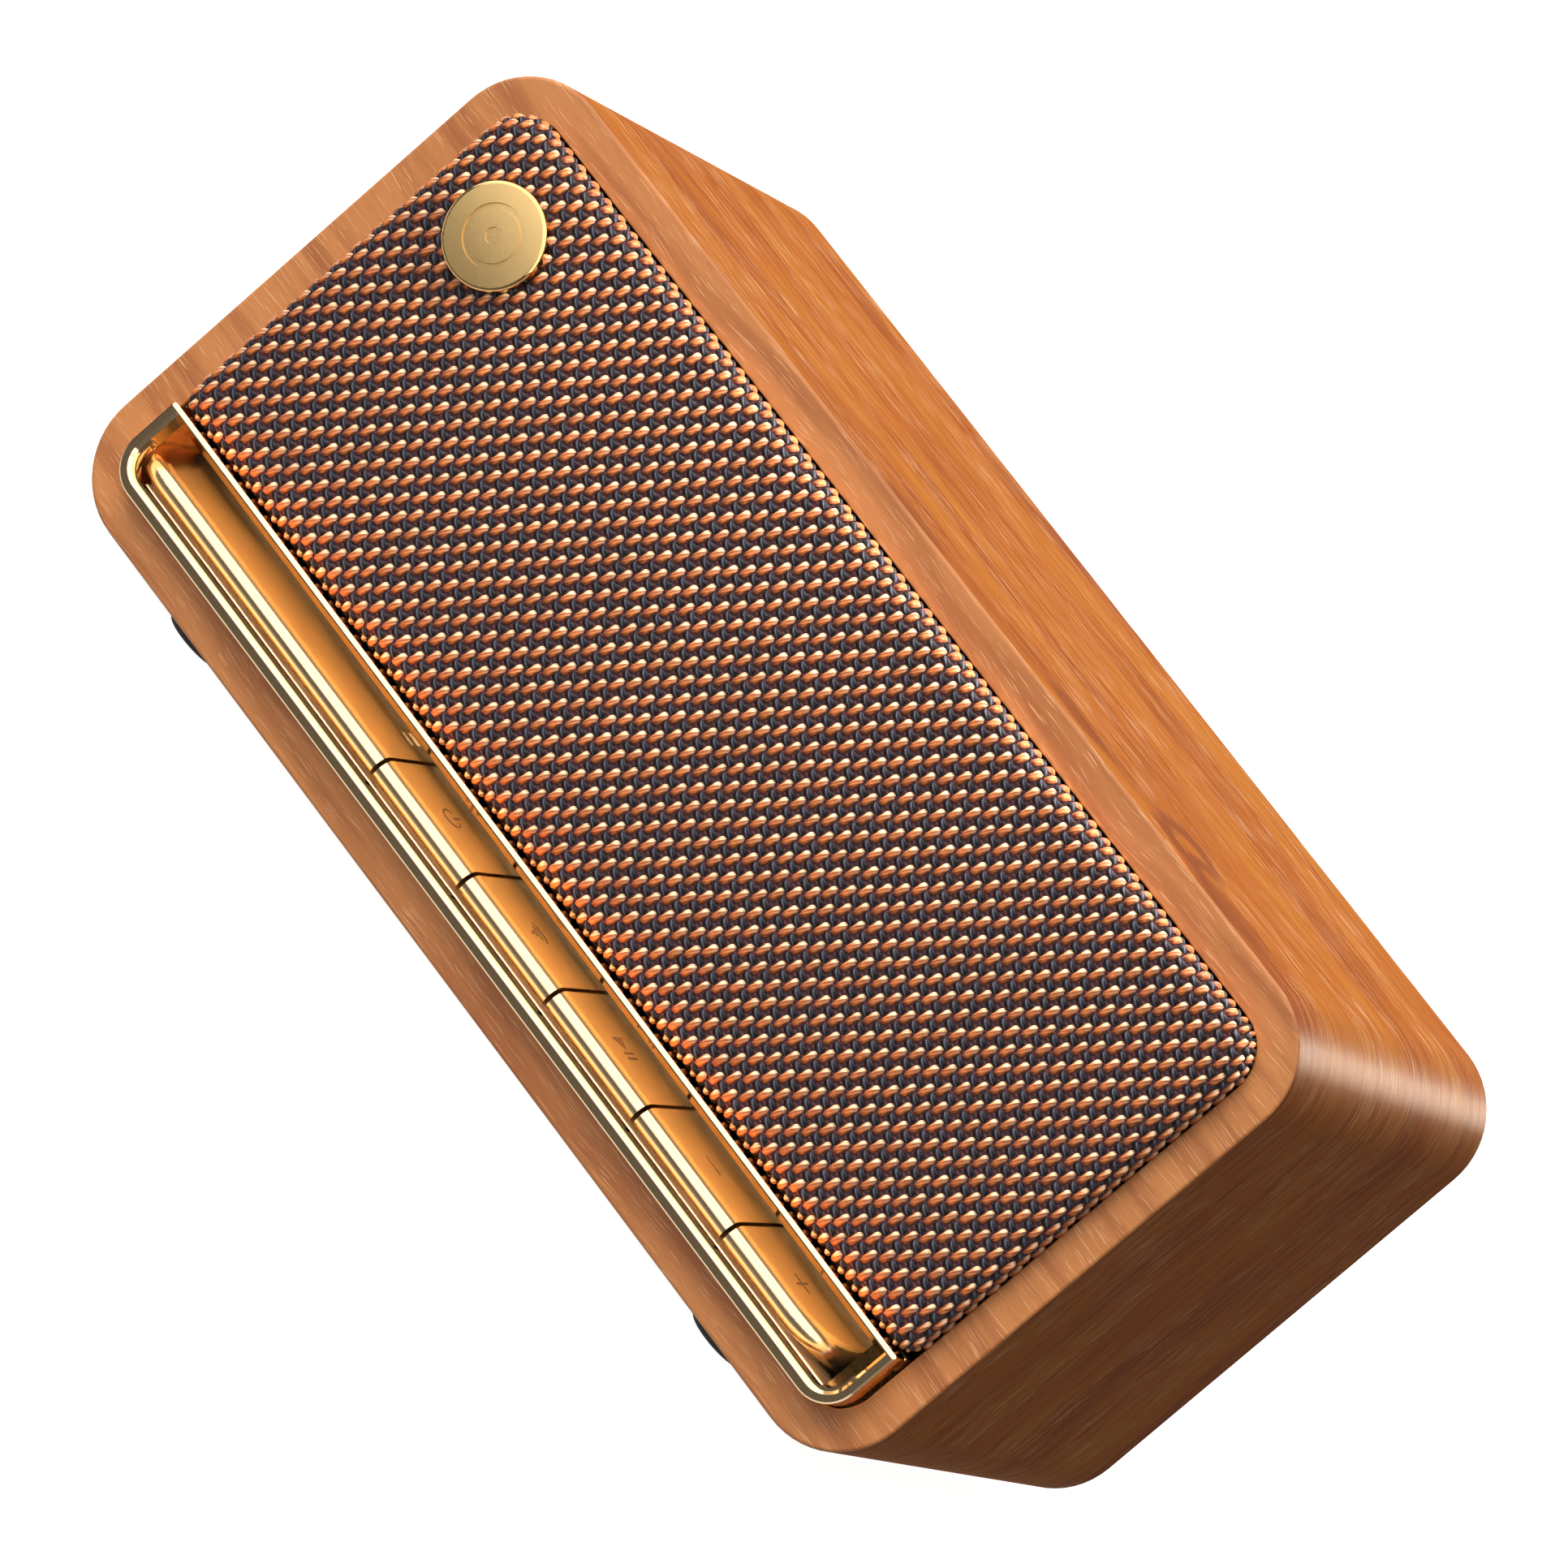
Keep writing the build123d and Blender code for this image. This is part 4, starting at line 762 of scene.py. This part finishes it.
# Slot: grey level, the size of the grain in metres, roughness.
MOULDED = {
    "foot_rubber": (0.012, 0.0003, 0.7),
    "frame_plastic": (0.014, 0.0005, 0.45),
    "gasket_foam": (0.03, 0.0005, 0.9),
    "rear_plastic": (0.018, 0.00035, 0.52),
    "roll_rubber": (0.016, 0.0008, 0.55),
    "dome_rubber": (0.09, 0.0004, 0.6),
}
# Slot: tone, roughness, and the axis of the lines if it isn't x.
DRAWN = {
    "spring_steel": ((0.55, 0.55, 0.56), 0.25),
    "steel_rod": ((0.6, 0.6, 0.6), 0.22),
    "sink_aluminium": ((0.72, 0.72, 0.73), 0.35),
    "socket_steel": ((0.68, 0.68, 0.68), 0.25, (0, 1, 0)),
    "zinc_screw": ((0.62, 0.62, 0.64), 0.3),
    "magnet_steel": ((0.35, 0.35, 0.36), 0.4),
}
OWN = {
    "badge_gold": badge_gold,
    "polished_gold": bezel_gold,
    "key_gold": lambda: gold("key_gold", 0.19).material,
    "smoked_window": window,
    "circuit_board": board_green,
    "spider_cloth": spider,
}


def finish(slot):
    """The material of one of the record's slots."""
    if slot in GRAINED:
        return grained(slot, *GRAINED[slot])
    if slot in DRAWN:
        return brushed(slot, *DRAWN[slot])
    if slot in OWN:
        return OWN[slot]()
    level, size, rough = MOULDED[slot]
    return grained(slot, (level,) * 3, (level * 1.25,) * 3, size, rough)


def chassis():
    """Black moulding. Its front face is plated gold over the keys, and elsewhere a dark gold that
    is painted shade for the recesses beside and below the keys.
    """
    black, painted_shade_gold = (0.014, 0.014, 0.014), (0.11, 0.060, 0.020)
    paint = Paint("key_chassis")
    x, y, z = paint.split(paint.where())
    front = paint.math("LESS_THAN", y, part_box("key_chassis")[0].y + 0.0003)
    key_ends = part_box("plus_key")[1].x - 0.004
    above_keys = paint.math("GREATER_THAN", z, place(0, 0, 12.0).z)
    within_keys = paint.math("LESS_THAN", paint.math("ABSOLUTE", x), key_ends)
    # dark gold beside and below the keys: painted shade for the recess at the key ends and the gap
    # between bezel and cabinet
    metal = paint.mix(paint.math("MULTIPLY", above_keys, within_keys), painted_shade_gold, GOLD)
    paint.set("Base Color", paint.mix(front, black, metal))
    paint.set("Metallic", front)
    satin = paint.ramp(paint.noise(paint.where(), 2500, 3.0), 0.3, 0.7, 0.40, 0.50)
    paint.set("Roughness", paint.math("SUBTRACT", satin, paint.math("MULTIPLY", front, 0.15)))
    return paint.material


def finish_nodes():
    """Give each CAD node the finish of its slot in the record."""
    made = {}
    for part in frame["record"]["subparts"]:
        slot = part["material_slot"]
        if slot not in made:
            made[slot] = finish(slot)
        mesh = frame["nodes"][part["node"]].data
        mesh.materials.clear()
        mesh.materials.append(made[slot])
    frame["nodes"]["key_chassis"].data.materials[0] = chassis()


# ---------------------------------------------------------------- studio
FLOOR_HALF = 30.0
WALL_RISE = 9.0
# What polished surfaces see, by the angle round the x axis: 0 is before the object's front, 90
# overhead, -90 below it and 180 behind it.
BANKS = [(-180, 0.03), (-145, 0.03), (-125, 0.42), (-60, 0.42), (-38, 0.09), (-25, 0.06),
         (-2, 0.055), (1, 1.0), (33, 1.0), (37, 0.40), (40, 0.40), (44, 1.0), (125, 1.0),
         (140, 0.20), (160, 0.04), (180, 0.03)]
BANK_STRENGTH = 2.2


def floor():
    """A white floor and walls. They glow by themselves, and leave the object's light as it is."""
    paint = Paint("studio_floor", rough=0.9, Specular_IOR_Level=0.0, Emission_Strength=0.97)
    paint.set("Emission Color", (1, 1, 1, 1))
    cloud = paint.noise(paint.where(), 0.7, 2.0)
    paint.set("Base Color", paint.mix(cloud, (0.42, 0.42, 0.42), (0.45, 0.45, 0.45)))
    square = [(-FLOOR_HALF, -FLOOR_HALF), (FLOOR_HALF, -FLOOR_HALF),
              (FLOOR_HALF, FLOOR_HALF), (-FLOOR_HALF, FLOOR_HALF)]
    points = [(x, y, z) for z in (0, WALL_RISE) for x, y in square]
    walls = [(i, i + 4, (i + 1) % 4 + 4, (i + 1) % 4) for i in range(4)]
    mesh = bpy.data.meshes.new("studio_floor")
    mesh.from_pydata(points, [], [(0, 1, 2, 3)] + walls)
    obj = link("studio_floor", mesh, paint.material)
    obj.visible_glossy = False
    obj.visible_diffuse = False
    obj.visible_shadow = False


def world():
    """Dim light on matt surfaces, more from the left than from the right. Polished ones see the
    banks of a studio instead: white in front and overhead with a dim gap between them, grey from
    below, and nearly black under the horizon and low behind."""
    sky = bpy.data.worlds.new("studio")
    bpy.context.scene.world = sky
    sky.use_nodes = True
    sky.cycles.sampling_method = "NONE"
    sky.node_tree.nodes.clear()
    graph = Graph(sky.node_tree)
    x, y, z = graph.split(graph.node("TexCoord").outputs["Generated"])
    turn = graph.math("ARCTAN2", z, graph.math("MULTIPLY", y, -1.0))
    banks = graph.node("ValToRGB", {0: graph.span(turn, -math.pi, math.pi)})
    ramp = banks.color_ramp
    while len(ramp.elements) < len(BANKS):
        ramp.elements.new(0.5)
    for element, (degrees, level) in zip(ramp.elements, BANKS):
        element.position = degrees / 360 + 0.5
        element.color = (level, level, level, 1)
    seen = graph.node("Background", {"Color": banks.outputs[0], "Strength": BANK_STRENGTH})
    sides = graph.span(x, -0.8, 0.8, 0.34, 0.06)
    dim = graph.node("Background", {"Color": (0.95, 0.97, 1.0, 1), "Strength": sides})
    glossy = graph.node("LightPath").outputs["Is Glossy Ray"]
    choose = graph.node("MixShader", {0: glossy, 1: dim.outputs[0], 2: seen.outputs[0]})
    graph.node("OutputWorld", {0: choose.outputs[0]})


def lamp(name, kind, power, at, way):
    """A light at a point, shining along a direction."""
    data = bpy.data.lights.new(name, kind)
    data.energy = power
    obj = bpy.data.objects.new(name, data)
    obj.location = at
    obj.rotation_euler = way.to_track_quat("-Z", "Y").to_euler()
    bpy.context.scene.collection.objects.link(obj)
    return obj


def sun(name, way, strength, angle):
    """A broad distant softbox, shining along way and not seen in reflections."""
    obj = lamp(name, "SUN", strength, (0, 0, 0), Vector(way))
    obj.data.angle = math.radians(angle)
    obj.visible_glossy = False


def panel(name, at, target, size, power, colour=(1, 1, 1), glossy=True):
    """A rectangular lamp aimed at a point, not seen by the camera."""
    obj = lamp(name, "AREA", power, at, Vector(target) - Vector(at))
    obj.data.shape = "RECTANGLE"
    obj.data.size, obj.data.size_y = size
    obj.data.color = colour
    obj.visible_glossy = glossy
    obj.visible_camera = False
    return obj


def only(light, pieces):
    """Let a light reach these pieces and nothing else."""
    lit = bpy.data.collections.new("lit_by_" + light.name)
    for piece in pieces:
        lit.objects.link(piece)
    light.light_linking.receiver_collection = lit


def lights(yarns, liners):
    sun("key_light", (0.42, 0.60, -0.68), 2.7, 40)
    sun("front_light", (0.22, 0.95, -0.18), 1.35, 60)
    sun("top_light", (0.12, -0.22, -0.97), 0.8, 60)
    far_off = Vector((0.28, 1.5, 0.55))
    panel("corner_light", far_off, (0.05, 0, 0.06), (0.22, 0.5), 2.8, (1.0, 0.86, 0.70))
    fill = panel("keys_light", place(0, -40, 2), place(0, 10, 15), (0.20, 0.03), 0.85)
    only(fill, liners)
    over, edge = place(25, -13, 150), place(22, -4, 78)
    graze = panel("cloth_edge_light", over, edge, (0.16, 0.02), 0.42, (1.0, 0.92, 0.84))
    only(graze, yarns)
    lip = place(0, CLOTH_FRONT - 0.9, 17.7)
    up = lip + Vector((0, 0.35, 1))
    panel("bezel_glow", lip, up, (0.145, 0.0008), 0.006, (1.0, 0.42, 0.08), False)


def camera():
    """The photograph's viewpoint, fitted to the cabinet's edges."""
    data = bpy.data.cameras.new("camera")
    data.lens = 217.18
    data.sensor_width = 36.0
    obj = bpy.data.objects.new("camera", data)
    at = place(347.26, -1056.70, 247.34)
    aim = place(11.47, 0, 47.79)
    roll = math.radians(49.27)
    level = (aim - at).to_track_quat("-Z", "Y").to_matrix().to_4x4()
    obj.matrix_world = Matrix.Translation(at) @ level @ Matrix.Rotation(roll, 4, "Z")
    bpy.context.scene.collection.objects.link(obj)
    bpy.context.scene.camera = obj


finish_nodes()
cabinet()
cloth_yarns = woven_cloth()
gold_liners = bezel_liners()
marks()
floor()
world()
lights(cloth_yarns, gold_liners)
camera()
bpy.context.scene.view_settings.view_transform = "Standard"

bpy.context.view_layer.update()
